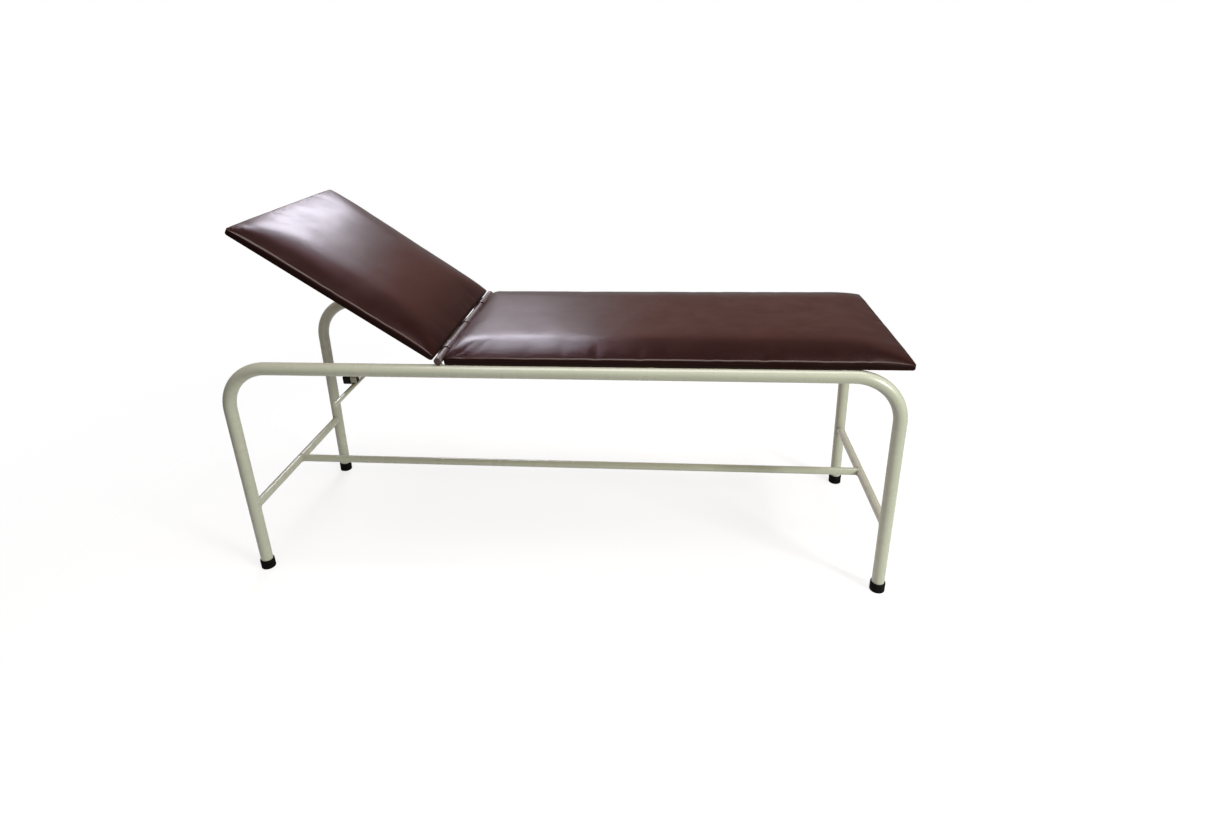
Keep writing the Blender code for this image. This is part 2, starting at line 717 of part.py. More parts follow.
def main():
    clear_scene()
    build_side_frames()
    build_feet()
    build_lower_tubes()
    build_hinge_bar()
    build_seat()
    build_keeper()
    hinge = add_empty("backrest_axis", (HINGE_X, 0, HINGE_Z), TILT_AT_REST)
    build_backrest(hinge)
    build_crank_pin(hinge)
    bar_axis = add_empty("ratchet_bar_axis", (HINGE_X, 0, PIN_Z))
    build_ratchet_bar(bar_axis)


main()
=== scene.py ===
"""Examination couch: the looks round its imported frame. Metres, in the row frame."""

import json
import math

import bmesh
import bpy
import numpy as np
from mathutils import Matrix, Vector, geometry, noise

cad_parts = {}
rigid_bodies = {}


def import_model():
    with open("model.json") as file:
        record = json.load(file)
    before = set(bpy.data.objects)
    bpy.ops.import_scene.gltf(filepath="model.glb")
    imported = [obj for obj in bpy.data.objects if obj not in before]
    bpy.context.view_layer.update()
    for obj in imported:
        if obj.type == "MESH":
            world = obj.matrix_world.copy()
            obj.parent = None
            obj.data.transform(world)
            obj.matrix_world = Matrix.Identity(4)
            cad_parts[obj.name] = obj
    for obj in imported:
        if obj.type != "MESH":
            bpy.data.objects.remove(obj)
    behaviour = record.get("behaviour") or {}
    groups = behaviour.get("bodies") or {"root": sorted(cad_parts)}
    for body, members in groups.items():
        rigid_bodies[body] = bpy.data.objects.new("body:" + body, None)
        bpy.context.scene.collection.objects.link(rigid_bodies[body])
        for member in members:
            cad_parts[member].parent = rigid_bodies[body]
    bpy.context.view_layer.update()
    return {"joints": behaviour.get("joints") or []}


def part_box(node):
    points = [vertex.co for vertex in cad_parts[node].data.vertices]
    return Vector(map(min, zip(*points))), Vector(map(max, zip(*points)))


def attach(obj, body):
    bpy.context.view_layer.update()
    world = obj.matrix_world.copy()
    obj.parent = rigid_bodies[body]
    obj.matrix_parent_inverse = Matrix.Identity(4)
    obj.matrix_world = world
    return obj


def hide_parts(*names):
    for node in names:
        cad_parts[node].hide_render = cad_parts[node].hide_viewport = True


for old in list(bpy.data.objects):
    bpy.data.objects.remove(old)
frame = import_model()

GAP = 0.0003
SIDES = 48
RNG = np.random.default_rng(27)
JOINTS = {joint["name"]: joint for joint in frame["joints"]}
HINGE = Vector(JOINTS["backrest_tilt"]["pos_m"])
PIN = Vector(JOINTS["ratchet_bar_swing"]["pos_m"])
TILT = -math.radians(JOINTS["backrest_tilt"]["range_deg"][0])
LAID = Matrix.Translation(HINGE) @ Matrix.Rotation(TILT, 4, "Y")
X, Y, Z = Vector((1, 0, 0)), Vector((0, 1, 0)), Vector((0, 0, 1))
CROSSWISE = Matrix.Rotation(-math.pi / 2, 4, "X")  # turns a shape made along Z to lie across the couch
FLANKS = (("near", -1), ("far", 1))
BEAD_SIDES = 8
BEAD_STEP = 0.0009
BEAD_POINTS = 72  # round a cross tube's end
BEAD_SPREAD = 1.04


# --- materials


class Nodes:
    """Short ways to add nodes to a tree."""

    def __init__(self, tree):
        self.tree = tree

    def node(self, kind, settings=(), **links):
        made = self.tree.nodes.new(kind)
        for label, value in dict(settings).items():
            setattr(made, label, value)
        self.fill(made, links)
        return made

    def fill(self, made, links):
        for label, value in links.items():
            self.plug(value, made.inputs[label.replace("_", " ")])

    def plug(self, value, socket):
        if isinstance(value, bpy.types.NodeSocket):
            self.tree.links.new(value, socket)
        else:
            socket.default_value = value

    def ramp(self, value, *stops):
        """Runs value through (position, colour or grey) stops."""
        made = self.node("ShaderNodeValToRGB", Fac=value)
        row = made.color_ramp.elements
        while len(row) < len(stops):
            row.new(0.5)
        for element, (position, colour) in zip(row, stops):
            element.position = position
            tone = colour if isinstance(colour, tuple) else (colour,) * 3
            element.color = (*tone, 1)
        return made.outputs["Color"]

    def maths(self, operation, *values):
        made = self.node("ShaderNodeMath", {"operation": operation})
        for value, socket in zip(values, made.inputs):
            self.plug(value, socket)
        return made.outputs[0]

    def remap(self, value, *limits):
        """Maps a value from one range to another: from low, from high, to low, to high."""
        made = self.node("ShaderNodeMapRange", Value=value)
        for limit, socket in zip(limits, made.inputs[1:5]):
            socket.default_value = limit
        return made.outputs["Result"]


class Look(Nodes):
    """A Principled material and its procedural textures."""

    def __init__(self, name, **sockets):
        self.material = bpy.data.materials.new(name)
        self.material.use_nodes = True
        super().__init__(self.material.node_tree)
        self.shader = self.tree.nodes["Principled BSDF"]
        self.fill(self.shader, sockets)
        self.place = self.node("ShaderNodeTexCoord").outputs["Object"]

    def stretched(self, scale):
        return self.node("ShaderNodeMapping", Vector=self.place, Scale=scale).outputs["Vector"]

    def noise(self, scale, detail=3.0, rough=0.5, vector=None, distortion=0.0):
        links = {"Vector": vector or self.place, "Scale": scale, "Detail": detail, "Roughness": rough}
        return self.node("ShaderNodeTexNoise", Distortion=distortion, **links).outputs["Fac"]

    def cells(self, scale, feature="F1", **links):
        links.update(Vector=self.place, Scale=scale)
        return self.node("ShaderNodeTexVoronoi", {"feature": feature}, **links).outputs["Distance"]

    def mix(self, share, first, second):
        made = self.node("ShaderNodeMix", {"data_type": "RGBA"})
        for index, value in ((0, share), (6, first), (7, second)):
            if isinstance(value, tuple):
                value = (*value, 1)
            self.plug(value, made.inputs[index])
        return made.outputs[2]

    def height(self):
        return self.node("ShaderNodeSeparateXYZ", Vector=self.place).outputs["Z"]

    def paint(self, colour, roughness):
        self.plug(colour, self.shader.inputs["Base Color"])
        self.plug(roughness, self.shader.inputs["Roughness"])

    def bump(self, *layers):
        """Stacks (height value, distance, strength) layers of bump."""
        links = {}
        for value, distance, strength in layers:
            links.update(Height=value, Distance=distance, Strength=strength)
            links["Normal"] = self.node("ShaderNodeBump", **links).outputs["Normal"]
        self.plug(links["Normal"], self.shader.inputs["Normal"])


def make_enamel():
    look = Look("cream_enamel", Coat_Weight=0.35, Coat_Roughness=0.10)
    cloud = look.noise(3.5, 3.0, 0.5)
    cream = look.ramp(cloud, (0.30, (0.510, 0.508, 0.418)), (0.72, (0.540, 0.540, 0.446)))
    # painted shade: an ambient occlusion mask darkens the cream toward dark brown in crevices, at welds and
    # in the gap between the pads
    shade = look.node("ShaderNodeAmbientOcclusion", {"samples": 4}, Distance=0.035).outputs["AO"]
    cream = look.mix(look.ramp(shade, (0.25, 1.0), (0.85, 0.0)), cream, (0.23, 0.19, 0.175))
    grime = look.ramp(look.noise(42.0, 6.0, 0.65), (0.60, 0.0), (0.80, 1.0))
    low = look.ramp(look.height(), (0.02, 1.0), (0.22, 0.05))
    dusty = look.maths("MULTIPLY", look.maths("MULTIPLY", grime, low), 0.35)
    cream = look.mix(dusty, cream, (0.30, 0.27, 0.20))
    chips = look.ramp(look.cells(150.0), (0.035, 1.0), (0.060, 0.0))
    sparse = look.ramp(look.noise(9.0, 2.0), (0.62, 0.0), (0.68, 1.0))
    worn = look.maths("MULTIPLY", look.maths("MULTIPLY", chips, sparse), low)
    cream = look.mix(worn, cream, (0.10, 0.085, 0.07))
    rough = look.ramp(look.noise(22.0, 4.0), (0.3, 0.24), (0.7, 0.34))
    look.paint(cream, look.mix(dusty, rough, (0.6, 0.6, 0.6)))
    look.bump((look.noise(260.0, 2.0), 0.00035, 0.14), (look.noise(30.0, 2.0), 0.0008, 0.08))
    return look.material


def make_vinyl():
    look = Look("maroon_vinyl", Specular_IOR_Level=0.36, Coat_Weight=0.06, Coat_Roughness=0.2)
    cloud = look.noise(3.2, 4.0, 0.55)
    colour = look.ramp(cloud, (0.28, (0.0225, 0.0046, 0.0034)), (0.74, (0.0300, 0.0068, 0.0050)))
    pores = look.cells(620.0, "SMOOTH_F1", Smoothness=0.35)
    colour = look.mix(look.ramp(pores, (0.25, 0.0), (0.75, 0.35)), colour, (0.012, 0.0034, 0.003))
    rough = look.ramp(look.noise(14.0, 5.0, 0.6), (0.30, 0.30), (0.72, 0.39))
    look.paint(colour, rough)
    look.bump(
        (pores, 0.00030, 0.18),
        (look.noise(1500.0, 3.0, 0.6), 0.00012, 0.25),
        (look.noise(46.0, 4.0, 0.55), 0.0010, 0.08),
    )
    return look.material


def make_rubber():
    look = Look("black_rubber", Specular_IOR_Level=0.22)
    dust = look.ramp(look.noise(60.0, 5.0, 0.6), (0.45, 0.0), (0.8, 1.0))
    low = look.ramp(look.height(), (0.0, 1.0), (0.012, 0.15))
    share = look.maths("MULTIPLY", look.maths("MULTIPLY", dust, low), 0.3)
    black = look.mix(share, (0.0065, 0.0065, 0.007), (0.060, 0.056, 0.052))
    look.paint(black, look.ramp(dust, (0.0, 0.55), (1.0, 0.8)))
    look.bump((look.noise(700.0, 3.0), 0.0002, 0.35))
    return look.material


def make_plastic():
    look = Look("black_plastic")
    rough = look.ramp(look.noise(30.0, 4.0), (0.3, 0.36), (0.7, 0.50))
    look.paint(look.ramp(look.noise(12.0), (0.3, 0.008), (0.7, 0.013)), rough)
    look.bump((look.noise(900.0, 2.0), 0.0001, 0.35))
    return look.material


def make_plywood():
    look = Look("plywood", Specular_IOR_Level=0.3)
    fibre = look.noise(1.0, 6.0, 0.62, look.stretched((9.0, 210.0, 60.0)), 0.4)
    band = look.noise(1.0, 3.0, 0.5, look.stretched((1.6, 16.0, 5.0)), 1.2)
    tones = ((0.28, (0.40, 0.255, 0.130)), (0.55, (0.520, 0.355, 0.200)), (0.8, (0.58, 0.42, 0.26)))
    colour = look.ramp(band, *tones)
    colour = look.mix(look.ramp(fibre, (0.35, 0.0), (0.72, 0.55)), colour, (0.27, 0.155, 0.075))
    look.paint(colour, look.ramp(fibre, (0.3, 0.62), (0.7, 0.82)))
    look.bump((fibre, 0.0005, 0.35))
    return look.material


def make_zinc():
    look = Look("zinc_steel", Metallic=1.0)
    spangle = look.cells(420.0)
    colour = look.ramp(spangle, (0.1, (0.50, 0.50, 0.485)), (0.7, (0.64, 0.64, 0.625)))
    look.paint(colour, look.ramp(look.noise(160.0, 4.0), (0.3, 0.26), (0.7, 0.44)))
    look.bump((look.noise(900.0, 3.0), 0.0001, 0.3))
    return look.material


def make_hinge_painted_shade():
    """Dark mauve-grey paint for the hinge rod and sleeves: the darkness is painted shade of the narrow gap
    between the pads, and the maroon tint is a painted reflection of the vinyl; streaked along the rod.
    """
    look = Look("hinge_painted_shade", Coat_Weight=0.1, Coat_Roughness=0.3)
    streak = look.noise(1.0, 4.0, 0.6, look.stretched((60.0, 14.0, 60.0)))
    look.paint(
        look.ramp(streak, (0.35, (0.085, 0.062, 0.064)), (0.70, (0.140, 0.105, 0.105))),
        look.ramp(streak, (0.3, 0.42), (0.7, 0.55)),
    )
    look.bump((look.noise(420.0, 3.0), 0.0002, 0.25))
    return look.material


LOOKS = {
    "enamel": make_enamel(),
    "vinyl": make_vinyl(),
    "rubber": make_rubber(),
    "plastic": make_plastic(),
    "board": make_plywood(),
    "steel": make_zinc(),
}
# dark paint that stands in for the shade and the maroon reflection in the gap between the pads
HINGE_SHADE_LOOK = make_hinge_painted_shade()


# --- pieces


def made_mesh(name, bm):
    mesh = bpy.data.meshes.new(name)
    bm.to_mesh(mesh)
    bm.free()
    return mesh


def made_object(name, data):
    obj = bpy.data.objects.new(name, data)
    bpy.context.scene.collection.objects.link(obj)
    return obj


def piece(name, bm, slot, body, replaced=(), crease=35.0, matrix=Matrix(), look=None):
    """Turns a bmesh into a finished piece that rides on a body."""
    bmesh.ops.recalc_face_normals(bm, faces=bm.faces)
    bm.transform(matrix)
    mesh = made_mesh(name, bm)
    mesh.materials.append(look or LOOKS[slot])
    mesh.shade_smooth()
    mesh.set_sharp_from_angle(angle=math.radians(crease))
    obj = made_object(name, mesh)
    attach(obj, body)
    if replaced:
        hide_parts(*replaced)
    return obj


def join_rings(bm, first, second):
    count = len(first)
    for number in range(count):
        after = (number + 1) % count
        bm.faces.new((first[number], first[after], second[after], second[number]))


def loft(bm, rings, caps=True):
    """Skins a row of rings, and closes it at both ends."""
    for first, second in zip(rings, rings[1:]):
        join_rings(bm, first, second)
    if caps:
        bm.faces.new(rings[0])
        bm.faces.new(rings[-1])


def directions(points, closed=False):
    if closed:
        around = [points[-1], *points, points[0]]
        return [(after - before).normalized() for before, after in zip(around, around[2:])]
    steps = [(b - a).normalized() for a, b in zip(points, points[1:])]
    return [steps[0], *[(a + b).normalized() for a, b in zip(steps, steps[1:])], steps[-1]]


def circle(radius, sides=SIDES):
    turns = [2 * math.pi * number / sides for number in range(sides)]
    return [(radius * math.cos(turn), radius * math.sin(turn)) for turn in turns]


def rounded_square(half, corner, steps=5):
    points = []
    reach = half - corner
    for quarter, (cx, cy) in enumerate(((reach, reach), (-reach, reach), (-reach, -reach), (reach, -reach))):
        points += arc((cx, cy), corner, 90 * quarter, 90 * quarter + 90, steps)
    return points


def sweep(bm, points, section, side=Y, cope=None, caps=True):
    """Carries a section along a path. A cope moves the vertices of both ends onto the tube they meet."""
    rings = []
    for point, along in zip(points, directions(points)):
        up = along.cross(side)
        rings.append([bm.verts.new(point + a * side + b * up) for a, b in section])
    if cope:
        for vert in rings[0] + rings[-1]:
            vert.co = cope(vert.co)
    loft(bm, rings, caps)
    return rings


def pipe(bm, points, outer, inner, side=Y):
    """A hollow sweep from an outer and an inner section, closed by a flat rim at each end."""
    shells = [sweep(bm, points, section, side, caps=False) for section in (outer, inner)]
    for end in (0, -1):
        join_rings(bm, shells[0][end], shells[1][end])


def turned(bm, profile, sides=SIDES, matrix=Matrix(), lean=0.0):
    """A solid of revolution about Z from (radius, height) points; radius 0 closes an end."""
    start = len(bm.verts)
    rings = []
    for radius, height in profile:
        centre = Vector((lean * height, 0, height))
        around = circle(radius, sides) if radius else [(0, 0)]
        rings.append([bm.verts.new(centre + a * X + b * Y) for a, b in around])
    for first, second in zip(rings, rings[1:]):
        if len(first) > 1 and len(second) > 1:
            join_rings(bm, first, second)
            continue
        tip, rim = (first[0], second) if len(first) == 1 else (second[0], first)
        for number in range(sides):
            bm.faces.new((tip, rim[number], rim[(number + 1) % sides]))
    bm.verts.ensure_lookup_table()
    bmesh.ops.transform(bm, matrix=matrix, verts=bm.verts[start:])


def soften(bm, width, angle=40.0):
    """Rounds every edge that is sharper than the angle."""
    sharp = math.radians(angle)
    edges = [edge for edge in bm.edges if len(edge.link_faces) == 2 and edge.calc_face_angle() > sharp]
    settings = {"segments": 2, "profile": 0.6, "affect": "EDGES", "clamp_overlap": True}
    bmesh.ops.bevel(bm, geom=edges, offset=width, **settings)


def weld_bead(bm, points, size=0.0024, ripple=0.0030):
    """A closed fillet of weld along a loop of points, with the ripples of its making."""
    travelled = 0.0
    rings = []
    for number, (point, along) in enumerate(zip(points, directions(points, True))):
        travelled += (point - points[number - 1]).length if number else 0.0
        swell = size * (0.86 + 0.14 * abs(math.sin(math.pi * travelled / ripple)))
        swell *= 1 + 0.10 * noise.noise(point * 90)
        side = side - side.dot(along) * along if rings else along.orthogonal()
        side = side.normalized()
        up = along.cross(side)
        rings.append([bm.verts.new(point + a * side + b * up) for a, b in circle(swell, BEAD_SIDES)])
    loft(bm, rings, False)
    # the last ring meets the first with the turn that brings their nearest corners together
    last, first = rings[-1], rings[0]
    shift = min(range(BEAD_SIDES), key=lambda k: (last[0].co - first[k].co).length)
    join_rings(bm, last, first[shift:] + first[:shift])


def seam_bead(bm, spine, offset, size, ripple=0.0028):
    """A bead along a seam: the loop runs out along the spine and back beside it."""
    back = [point + Vector(offset) for point in spine[::-1]]
    weld_bead(bm, spine + back, size, ripple)


def corner_bead(bm, loop, size):
    """A bead round a tube's end, whose few corners are first joined by close points."""
    dense = []
    for first, second in zip(loop, loop[1:] + loop[:1]):
        parts = max(1, int((second - first).length / BEAD_STEP))
        dense += [first.lerp(second, number / parts) for number in range(parts)]
    weld_bead(bm, dense, size, 0.0028)


def arc(centre, radius, first, last, steps):
    """Points (x, z) on a circle from one angle to another, in degrees."""
    turns = [math.radians(first + (last - first) * number / steps) for number in range(steps + 1)]
    return [(centre[0] + radius * math.cos(turn), centre[1] + radius * math.sin(turn)) for turn in turns]


def extrude(bm, corners, step):
    """A flat outline, given its thickness by a step."""
    face = bm.faces.new([bm.verts.new(corner) for corner in corners])
    made = bmesh.ops.extrude_face_region(bm, geom=[face])
    moved = [item for item in made["geom"] if isinstance(item, bmesh.types.BMVert)]
    bmesh.ops.translate(bm, vec=step, verts=moved)


def slab(bm, outline, y_low, y_high):
    """An outline of (x, z) points, extruded across the couch."""
    extrude(bm, [(x, y_low, z) for x, z in outline], (0, y_high - y_low, 0))


# --- main frame

near_low, near_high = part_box("near_side_frame")
RAIL_TOP = near_high.z
TUBE_R = (near_high.y - near_low.y) / 2
HALF_WIDTH = -(near_high.y + near_low.y) / 2
RAIL_Z = RAIL_TOP - TUBE_R
SPLAY = math.radians(2.5)
LEG_SPAN_HALF = 0.910
BEND_R = 0.135
TUBE_WALL = 0.002


def leg_x(z):
    return LEG_SPAN_HALF + math.tan(SPLAY) * (RAIL_Z - z)


def side_frame_path(y):
    """The middle line of a side frame: left leg, bend, rail, bend and right leg."""
    reach = BEND_R * math.tan((math.pi / 2 - SPLAY) / 2)
    bend = arc((LEG_SPAN_HALF - reach, RAIL_Z - BEND_R), BEND_R, math.degrees(SPLAY), 90, 28)
    leg = [(leg_x(z), z) for z in np.linspace(near_low.z, bend[0][1] - 0.01, 12)]
    right = [Vector((x, y, z)) for x, z in leg + bend]
    left = [Vector((-p.x, y, p.z)) for p in right]
    rail = [Vector((x, y, RAIL_Z)) for x in np.linspace(left[-1].x, right[-1].x, 26)[1:-1]]
    return left + rail + right[::-1]


def build_side_frames():
    for side_name, sign in FLANKS:
        bm = bmesh.new()
        pipe(bm, side_frame_path(sign * HALF_WIDTH), circle(TUBE_R), circle(TUBE_R - TUBE_WALL))
        piece(f"{side_name}_bent_tube", bm, "enamel", "frame", [f"{side_name}_side_frame"])


def build_feet():
    """Ribbed rubber feet, each turned from one profile and sheared to its leg's splay."""
    top, radius, groove = 0.030, 0.0215, 0.0199
    profile = [(0, 0.0008), (0.006, 0.0008), (0.007, 0.0), (0.012, 0.0), (0.013, 0.0008), (0.0165, 0.0008)]
    profile += [(0.0172, 0.0), (radius - 0.0016, 0.0), (radius - 0.0005, 0.0004), (radius, 0.0014)]
    for base in (0.0060, 0.0135, 0.0210):
        profile += [(radius, base), (groove + 0.0003, base + 0.0007), (groove, base + 0.0014)]
        profile += [(groove, base + 0.0024), (groove + 0.0003, base + 0.0031), (radius, base + 0.0038)]
    profile += [(radius - 0.0002, top - 0.0014), (radius - 0.0010, top - 0.0003), (radius - 0.0018, top)]
    profile += [(TUBE_R + 0.0004, top), (TUBE_R - 0.0002, top - 0.0008), (TUBE_R - 0.0004, 0.006), (0, 0.006)]
    for side_name, side in FLANKS:
        for end_name, end in (("head", -1), ("foot", 1)):
            bm = bmesh.new()
            place = Matrix.Translation((end * leg_x(0), side * HALF_WIDTH, 0))
            turned(bm, profile, 64, place, -end * math.tan(SPLAY))
            where = f"foot_{side_name}_{end_name}"
            piece(f"ribbed_{where}", bm, "rubber", "frame", [f"rubber_{where}"])


def coped(point, across):
    """A point on a cross tube's end, moved to the frame tube whose middle line it passes this far away."""
    away = math.sqrt(max(TUBE_R**2 - across**2, 0))
    return Vector((point.x, math.copysign(HALF_WIDTH - away, point.y), point.z))


def cope_to_rail(point):
    return coped(point, point.z - RAIL_Z)


def cope_to_leg(point):
    return coped(point, (abs(point.x) - leg_x(point.z)) * math.cos(SPLAY))


def welded_tube(beads, name, node, points, radius, side, cope):
    """A straight tube whose ends are coped to the tubes they meet, and welded."""
    bm = bmesh.new()
    sweep(bm, points, circle(radius), side, cope)
    piece(name, bm, "enamel", "frame", [node])
    for end in (points[0], points[-1]):
        ring = [end + (a * side + b * Z) * BEAD_SPREAD for a, b in circle(radius, BEAD_POINTS)]
        weld_bead(beads, [cope(point) for point in ring])


def cross_run(beads, name, node, cope):
    low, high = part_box(node)
    centre, reach = (low + high) / 2, high.y + 0.004
    points = [Vector((centre.x, y, centre.z)) for y in np.linspace(-reach, reach, 14)]
    welded_tube(beads, name, node, points, (high.x - low.x) / 2, X, cope)


def build_cross_tubes(beads):
    for part in ("head", "foot"):
        cross_run(beads, f"{part}_lower_tube", f"{part}_cross_tube", cope_to_leg)
    for part in ("head", "mid", "foot"):
        cross_run(beads, f"seat_{part}_bearer", f"seat_{part}_cross_tube", cope_to_rail)
    low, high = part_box("long_stretcher")
    cross_low, cross_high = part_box("foot_cross_tube")
    radius, cross_r = (high.z - low.z) / 2, (cross_high.z - cross_low.z) / 2
    centre_z, cross_x = (high.z + low.z) / 2, (cross_low.x + cross_high.x) / 2

    def cope(point):
        away = math.sqrt(max(cross_r**2 - (point.z - centre_z) ** 2, 0))
        return Vector((math.copysign(cross_x - away, point.x), point.y, point.z))

    points = [Vector((x, 0, centre_z)) for x in np.linspace(low.x - 0.003, high.x + 0.003, 40)]
    welded_tube(beads, "stretcher_tube", "long_stretcher", points, radius, Y, cope)


def build_hinge_bar(beads):
    low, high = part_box("hinge_bar")
    radius, reach = (high.z - low.z) / 2, high.y
    profile = [(0, -reach), (radius - 0.0012, -reach), (radius, -reach + 0.0012)]
    profile += [(radius, y) for y in np.linspace(-0.28, 0.28, 12)]
    profile += [(radius, reach - 0.0012), (radius - 0.0012, reach), (0, reach)]
    bm = bmesh.new()
    turned(bm, profile, SIDES, Matrix.Translation(HINGE) @ CROSSWISE)
    # the rod is given the painted shade of the gap between the pads
    piece("hinge_rod", bm, "enamel", "frame", ["hinge_bar"], look=HINGE_SHADE_LOOK)
    # on each rail, a fillet on each side of the rod
    for sign in (-1, 1):
        for lean in (-1, 1):
            x = HINGE.x + lean * radius * 0.62
            ys = [HALF_WIDTH + 0.0055 * math.cos(math.pi * number / 12) - 0.0005 for number in range(13)]
            spine = [Vector((x, sign * y, RAIL_TOP + 0.0012)) for y in ys]
            seam_bead(beads, spine, (lean * 0.0012, 0, -0.0008), 0.0018, 0.0030)


# --- screws

SCREW_R, SCREW_HEAD = 0.005, 0.0028
BACK_SCREWS = (0.110, 0.480)  # distances from the hinge along the backrest


def screw_mesh(matrix):
    """A pan head with a cross recess, pointing down its own -Z."""
    radius, head = SCREW_R, SCREW_HEAD
    profile = [(0, -head * 0.55), (radius * 0.20, -head * 0.55), (radius * 0.34, -head * 0.97)]
    profile += [(radius * 0.62, -head), (radius * 0.86, -head * 0.86), (radius * 0.98, -head * 0.5)]
    profile += [(radius, -head * 0.12), (radius, 0), (0, 0)]
    bm = bmesh.new()
    turned(bm, profile, 32)
    for vert in bm.verts:
        away = math.hypot(vert.co.x, vert.co.y)
        if radius * 0.3 < away < radius * 0.5:
            turn = math.atan2(vert.co.y, vert.co.x)
            vert.co.z += head * 0.42 * abs(math.cos(2 * turn)) ** 3
    bm.transform(matrix)
    return bm


def build_screws():
    for part in ("head", "mid", "foot"):
        for side_name, _ in FLANKS:
            node = f"seat_screw_{part}_{side_name}"
            low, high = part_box(node)
            place = Matrix.Translation(((low.x + high.x) / 2, (low.y + high.y) / 2, low.z + SCREW_HEAD - GAP))
            bm = screw_mesh(place @ Matrix.Rotation(RNG.uniform(0, 1.5), 4, "Z"))
            piece(f"pan_screw_{part}_{side_name}", bm, "steel", "frame", [node])
    under = BACK_RAIL_Z - RAIL_SIDE / 2 - GAP
    for side_name, sign in FLANKS:
        for number, away in enumerate(BACK_SCREWS, 1):
            place = LAID @ Matrix.Translation((-away, sign * BACK_RAIL_Y, under))
            bm = screw_mesh(place @ Matrix.Rotation(RNG.uniform(0, 1.5), 4, "Z"))
            label = f"screw_{side_name}_{number}"
            piece(f"back_pan_{label}", bm, "steel", "backrest", [f"backrest_{label}"])


# --- pads

PAD_HALF = 0.304
PAD_END = 0.014
SEAT_LENGTH = 1.211
BACK_LENGTH = 0.591
PAD_SHOULDER = 0.0145  # where the foam's roll starts, over the board
PAD_RISE = 0.0255
CROWN_REACH = 0.115
FIRM_REACH = 0.032  # at an end where the foam is cut square
CORNER = 0.0095
PAD_Z = RAIL_TOP + GAP
ROLL = 0.0062  # inset where the top panel ends and the rolled edge starts
# Rows of the cover from the top panel's rim down to the hem under the board: inset and height in mm.
# A row with no height lies on the crown.
LAYERS = ((4.4, None), (2.9, None), (1.7, None), (0.8, None), (0.25, None), (0.0, None))
LAYERS += ((0.0, 13.3), (0.35, 12.5), (0.55, 11.9), (0.2, 11.2), (0.0, 9.6), (0.0, 7.2), (0.1, 4.6))
LAYERS += ((0.5, 2.4), (1.6, 0.7), (3.6, 0.0), (9.0, 0.0), (15.0, 0.0), (21.0, 0.0), (26.0, 0.0))
LAYERS += ((26.6, 0.6), (26.8, 1.1))
CLOTH = {"quality": 6, "mass": 0.35, "use_pressure": True, "uniform_pressure_force": 4.0}
CLOTH |= {"tension_stiffness": 18, "compression_stiffness": 18, "shear_stiffness": 8}
CLOTH |= {"bending_stiffness": 1.2, "vertex_group_mass": "fixed", "pin_stiffness": 6}
RIM_HOLD = (0.35, 0.5, 0.65, 0.8, 0.9)  # how firmly the first rows are held; the others don't move
DENT_LIMIT = 0.11
BOARD, BOARD_INSET, BOARD_CORNER = 0.012, 0.0045, 0.014
STAPLE_STEP, STAPLE_INSET = 0.062, 0.017


def crown(x, y, length, width, firm_start):
    """Height of the cover at a point from the pad's corner: an elliptical roll along every edge."""
    share = 1.0
    reaches = (FIRM_REACH if firm_start else CROWN_REACH, CROWN_REACH, CROWN_REACH, CROWN_REACH)
    for near, reach in zip((x, length - x, y, width - y), reaches):
        t = min(max(near, 0.0) / reach, 1.0)
        share *= math.sqrt(1 - (1 - t) ** 2)
    return PAD_SHOULDER + PAD_RISE * share


def corner_map(x, y, low, high, radius):
    """Moves a grid point of a rectangle into the same rectangle with round corners."""
    cx = min(max(x, low[0] + radius), high[0] - radius)
    cy = min(max(y, low[1] + radius), high[1] - radius)
    a, b = (x - cx) / radius, (y - cy) / radius
    if a == 0 or b == 0:
        return x, y
    return cx + radius * a * math.sqrt(1 - b * b / 2), cy + radius * b * math.sqrt(1 - a * a / 2)


def cushion_mesh(length, width, firm_start, cell=0.0085):
    """A cover over foam and board, open at its hem, and its rows: the top's rim, then one row for each of
    LAYERS.
    """
    bm = bmesh.new()
    low, high = (ROLL, ROLL), (length - ROLL, width - ROLL)
    radius = CORNER - ROLL

    def stations(first, last):
        inner = np.linspace(first + radius, last - radius, int(round((last - first - 2 * radius) / cell)) + 1)
        near = np.linspace(first, first + radius, 4)[:-1]
        far = np.linspace(last - radius, last, 4)[1:]
        return [*near, inner[0], (inner[0] + inner[1]) / 2, *inner[1:], *far]

    ys = stations(low[1], high[1])
    grid = []
    for x in stations(low[0], high[0]):
        spots = [corner_map(x, y, low, high, radius) for y in ys]
        grid.append([bm.verts.new((a, b, crown(a, b, length, width, firm_start))) for a, b in spots])
    for row, after in zip(grid, grid[1:]):
        for j in range(len(ys) - 1):
            bm.faces.new((row[j], after[j], after[j + 1], row[j + 1]))
    rim = [row[0] for row in grid] + grid[-1][1:] + [row[-1] for row in grid[-2::-1]] + grid[0][-2:0:-1]
    outward = []
    for vert in rim:
        cx = min(max(vert.co.x, low[0] + radius), high[0] - radius)
        cy = min(max(vert.co.y, low[1] + radius), high[1] - radius)
        outward.append(Vector((vert.co.x - cx, vert.co.y - cy, 0)).normalized())
    rows = [rim]
    for inset, height in LAYERS:
        row = []
        for vert, way in zip(rim, outward):
            base = Vector((vert.co.x, vert.co.y, 0)) + way * (ROLL - inset / 1000)
            z = crown(base.x, base.y, length, width, firm_start) if height is None else height / 1000
            row.append(bm.verts.new((base.x, base.y, z)))
        join_rings(bm, rows[-1], row)
        rows.append(row)
    bm.verts.index_update()
    return bm, [[vert.index for vert in row] for row in rows]


